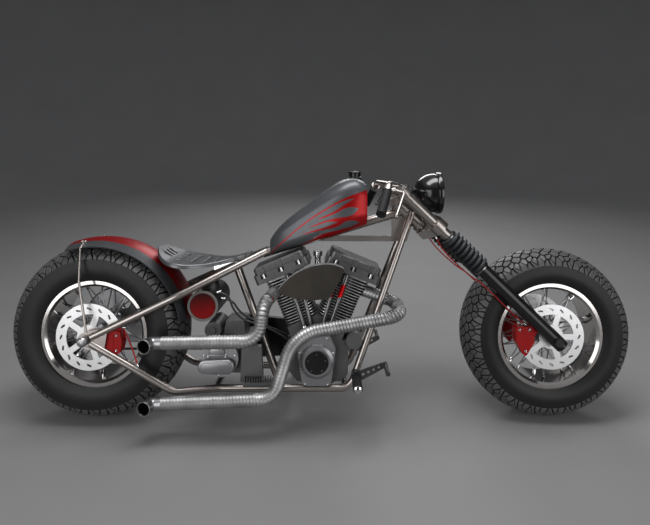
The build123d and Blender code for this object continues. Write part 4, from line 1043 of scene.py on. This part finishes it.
# Floor, light and camera: a grey floor that sweeps up into a round wall, under large soft lamps. The
# camera stands on the machine's right side.
floor_grey = finish("floor_grey", (0.2, 0.2, 0.202), rough=0.75, drift=0.03, mottle=2.0, sheen=0.2)
FLOOR_R = 5
WALL_R = 9
bm = bmesh.new()
bend = [(k * pi / 48, WALL_R - FLOOR_R) for k in range(25)]
sweep = [(0, 0)] + [(r * (1 - cos(a)), FLOOR_R + r * sin(a)) for a, r in bend] + [(WALL_R, WALL_R)]
lathe(bm, sweep, (0, 0, 0), (0, 0, 1), 96)
bmesh.ops.remove_doubles(bm, verts=bm.verts, dist=0.0001)
bmesh.ops.recalc_face_normals(bm, faces=bm.faces)
ground = bpy.data.meshes.new("floor")
bm.to_mesh(ground)
bm.free()
ground.materials.append(floor_grey)
ground.polygons.foreach_set("use_smooth", [True] * len(ground.polygons))
floor = bpy.data.objects.new("floor", ground)
bpy.context.scene.collection.objects.link(floor)

world = bpy.data.worlds.new("studio")
world.use_nodes = True
world.node_tree.nodes["Background"].inputs[0].default_value = (0.62, 0.63, 0.65, 1)
world.node_tree.nodes["Background"].inputs[1].default_value = 0.55
bpy.context.scene.world = world


def lamp(name, at, target, power, width, height):
    """A soft box of a given size and power, turned to a point."""
    data = bpy.data.lights.new(name, "AREA")
    data.shape = "RECTANGLE"
    data.size, data.size_y, data.energy = width, height, power
    made = bpy.data.objects.new(name, data)
    made.location = at
    made.rotation_euler = (Vector(target) - Vector(at)).to_track_quat("-Z", "Y").to_euler()
    bpy.context.scene.collection.objects.link(made)


lamp("top_lamp", (0.2, -0.2, 3.2), (0.1, 0, 0.4), 80, 2.6, 1.0)
lamp("right_lamp", (-1.9, -3.0, 1.3), (-0.4, 0, 0.4), 52, 2.2, 2.4)
lamp("front_lamp", (2.3, -2.7, 1.2), (0.6, 0, 0.4), 42, 2.0, 2.2)
lamp("left_lamp", (0.4, 3.2, 2.2), (0, 0, 0.4), 48, 2.4, 1.0)

PIXELS = (650, 525)
FOCAL = 512.5
PRINCIPAL = (330, 175)
EYE = (900, -2050, 950)
view = bpy.data.cameras.new("photo_view")
view.sensor_width = 36
view.lens = FOCAL * 36 / PIXELS[0]
view.shift_x = (PIXELS[0] / 2 - PRINCIPAL[0]) / PIXELS[0]
view.shift_y = (PRINCIPAL[1] - PIXELS[1] / 2) / PIXELS[0]
camera = bpy.data.objects.new("photo_view", view)
camera.matrix_world = Matrix.Translation(PARKED @ Vector(EYE)) @ Matrix.Rotation(LEAN + pi / 2, 4, "X")
bpy.context.scene.collection.objects.link(camera)
bpy.context.scene.camera = camera
bpy.context.scene.view_settings.view_transform = "Standard"
